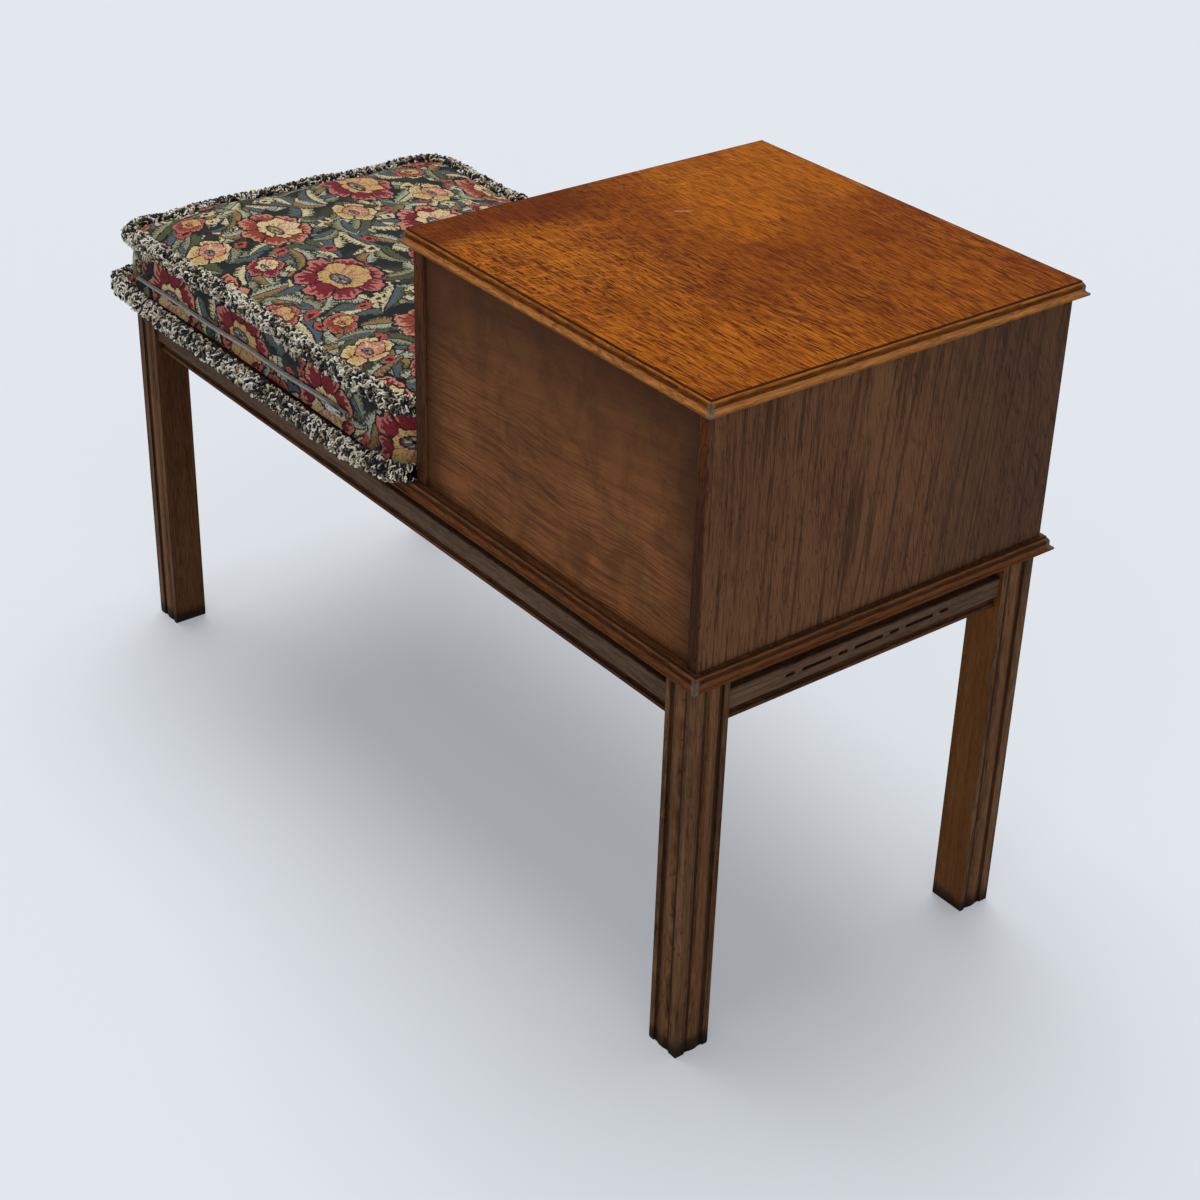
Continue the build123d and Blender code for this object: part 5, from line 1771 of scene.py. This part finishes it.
    def build_zip(self, tape: bpy.types.Material, metal: bpy.types.Material) -> None:
        """Lay the tape and its teeth along the back of the boxing.

        Args:
            tape: The tape's material.
            metal: The teeth's material.
        """
        count, half, thick = 100, 0.0026, 0.0009
        rows, faces = [], []
        for step in range(count + 1):
            x, y, z = self.zip_point(self.zip_start[0] + self.zip_length * step / count)
            rows += [(x, y, z - half), (x, y + thick, z - half + 0.0004),
                     (x, y + thick, z + half - 0.0004), (x, y, z + half)]
        for step in range(count):
            for k in range(4):
                a, b = step * 4 + k, step * 4 + (k + 1) % 4
                faces.append((b, a, a + 4, b + 4))
        faces += [(0, 1, 2, 3), tuple(count * 4 + k for k in (3, 2, 1, 0))]
        cloth = mesh_object("zip_cloth", rows, faces)
        recalculate(cloth)
        cloth.data.materials.append(tape)
        line = []
        for step in range(2 * count + 1):
            x, y, z = self.zip_point(self.zip_start[0] + self.zip_length * step / (2 * count))
            line.append((x, y + 0.0014, z))
        path = poly_curve("zip_line", line)
        teeth = stood("zip_teeth", grown(path, self.tooth_tree(), Finish=metal))
        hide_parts("zip_tape")
        for piece in (cloth, teeth):
            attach(piece, "cushion")
            LOG.info("%s: %d faces", piece.name, len(piece.data.polygons))

    def build(self) -> None:
        """Build and dress the whole cushion."""
        tapestry = TapestryFinish().material(self.fx)
        yarn = YarnFinish().material()
        metal = MetalFinish("zip_metal", paint(172, 170, 164), paint(112, 110, 106), 0.34)
        metal_finish = metal.material(self.fx)
        tape = ClothFinish("zip_tape", paint(164, 160, 152), paint(104, 100, 94)).material(self.fx)
        self.cover = self.build_cover()
        self.flare_foot(self.cover)
        self.cover.data.materials.clear()
        self.cover.data.materials.append(tapestry)
        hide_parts("cushion_pad")
        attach(self.cover, "cushion")
        LOG.info("cushion_cover: %d faces", len(self.cover.data.polygons))
        tree = self.loop_tree()
        self.build_fringe(tree, "foot_loops", "fringe_foot", self.foot_inset, self.foot_z,
                          False, yarn, Core_Radius=0.0050, Density=165000.0, Droop=0.25, Seed=5)
        self.build_fringe(tree, "head_loops", "fringe_head", self.head_inset, self.head_z, True,
                          yarn, Core_Radius=0.0062, Density=145000.0, Seed=9)
        self.build_zip(tape, metal_finish)
        dress(metal_finish, "zip_slider", "zip_pull")


def recalculate(piece: bpy.types.Object) -> None:
    """Turn every face of a closed piece outwards.

    Args:
        piece: The piece.
    """
    work = bmesh.new()
    work.from_mesh(piece.data)
    bmesh.ops.recalc_face_normals(work, faces=work.faces)
    work.to_mesh(piece.data)
    work.free()


def grown(path: bpy.types.Object, tree: bpy.types.NodeTree, **inputs: Any) -> bpy.types.Mesh:
    """Run a Geometry Nodes tree on a curve, keep its mesh and drop the curve.

    Args:
        path: The curve's object.
        tree: The tree.
        **inputs: Its inputs by name, an underscore standing for a space.

    Returns:
        The mesh.
    """
    modifier = path.modifiers.new("grow", "NODES")
    modifier.node_group = tree
    identifiers = {item.name: item.identifier for item in tree.interface.items_tree
                   if item.item_type == "SOCKET" and item.in_out == "INPUT"}
    for name, value in inputs.items():
        modifier[identifiers[name.replace("_", " ")]] = value
    shown = path.evaluated_get(bpy.context.evaluated_depsgraph_get())
    mesh = bpy.data.meshes.new_from_object(shown)
    bpy.data.objects.remove(path)
    return mesh


# --------------------------------------------------------------------- studio
@dataclass
class Studio:
    """A pale floor, soft light and the camera. A lamp is a name, aim, power and spread."""

    pale: Colour = paint(225, 230, 236)
    lifted: float = 0.31
    sky: float = 0.27
    sky_colour: Colour = (0.97, 0.985, 1.0, 1.0)
    lamps: tuple[tuple[str, Sequence[float], float, float], ...] = (
        ("lamp_over", (-0.30, 0.15, -1.0), 2.22, 46.0),
        ("lamp_fill", (0.72, -0.62, -0.35), 0.8, 80.0))
    floor_half: float = 14.0
    place: tuple[float, float, float] = (-1.57517, 1.17790, 1.34083)
    right: tuple[float, float, float] = (-0.6147, -0.78817, 0.0307)
    down: tuple[float, float, float] = (-0.41883, 0.29318, -0.85944)
    ahead: tuple[float, float, float] = (0.66838, -0.54115, -0.51032)
    lens: float = 69.8127
    shift: tuple[float, float] = (-0.01543, -0.00195)

    def build_floor(self) -> None:
        """Lay a wide matt floor."""
        side = self.floor_half
        floor = mesh_object("studio_floor", ((-side, -side, 0), (side, -side, 0),
                                             (side, side, 0), (-side, side, 0)), ((0, 1, 2, 3),))
        material, g, shader = new_material("studio_floor")
        g.put(shader, Base_Color=self.pale, Roughness=0.95, Specular_IOR_Level=0.0)
        glow = g.put(g.add("ShaderNodeEmission"), Color=self.pale, Strength=1.0)
        g.fill(g.tree.get_output_node("ALL"), g.mix_shader(self.lifted, shader, glow))
        floor.data.materials.append(material)

    def build_light(self) -> None:
        """Fill with a pale sky and add two wide soft lamps."""
        world = bpy.data.worlds.new("studio")
        bpy.context.scene.world = world
        world.use_nodes = True
        world.node_tree.nodes.clear()
        g = Graph(world.node_tree)
        end = g.add("ShaderNodeOutputWorld")
        fill = g.put(g.add("ShaderNodeBackground"), Color=self.sky_colour,
                     Strength=self.sky)
        seen = g.put(g.add("ShaderNodeBackground"), Color=self.pale, Strength=1.0)
        path = g.add("ShaderNodeLightPath").outputs
        shown = g.math("MAXIMUM", path["Is Camera Ray"],
                       g.math("MAXIMUM", path["Is Glossy Ray"], path["Is Transmission Ray"]))
        g.fill(end, g.mix_shader(shown, fill, seen))
        for name, aim, power, spread in self.lamps:
            lamp = bpy.data.lights.new(name, "SUN")
            lamp.energy = power
            lamp.angle = math.radians(spread)
            holder = stood(name, lamp)
            holder.rotation_mode = "QUATERNION"
            holder.rotation_quaternion = Vector(aim).to_track_quat("-Z", "Y")

    def build_camera(self) -> None:
        """Stand the camera where the reference view was taken."""
        data = bpy.data.cameras.new("camera")
        data.sensor_width = 36.0
        data.lens = self.lens
        data.shift_x, data.shift_y = self.shift
        data.clip_start, data.clip_end = 0.05, 60.0
        camera = stood("camera", data)
        columns = [Vector(self.right), -Vector(self.down), -Vector(self.ahead)]
        turn = Matrix(columns).transposed().to_4x4()
        camera.matrix_world = Matrix.Translation(self.place) @ turn
        bpy.context.scene.camera = camera

    def build(self) -> None:
        """Set up the studio."""
        bpy.context.scene.view_settings.view_transform = "Standard"
        self.build_floor()
        self.build_light()
        self.build_camera()


def main() -> None:
    """Build the bench's pieces in order, then the studio."""
    logging.basicConfig(level=logging.INFO, format="%(name)s: %(message)s")
    fx = Effects()
    for part in (Stand(fx), Cabinet(fx), Drawer(fx)):
        part.dress()
    Cushion(fx).build()
    Studio().build()


if __name__ == "__main__":
    main()
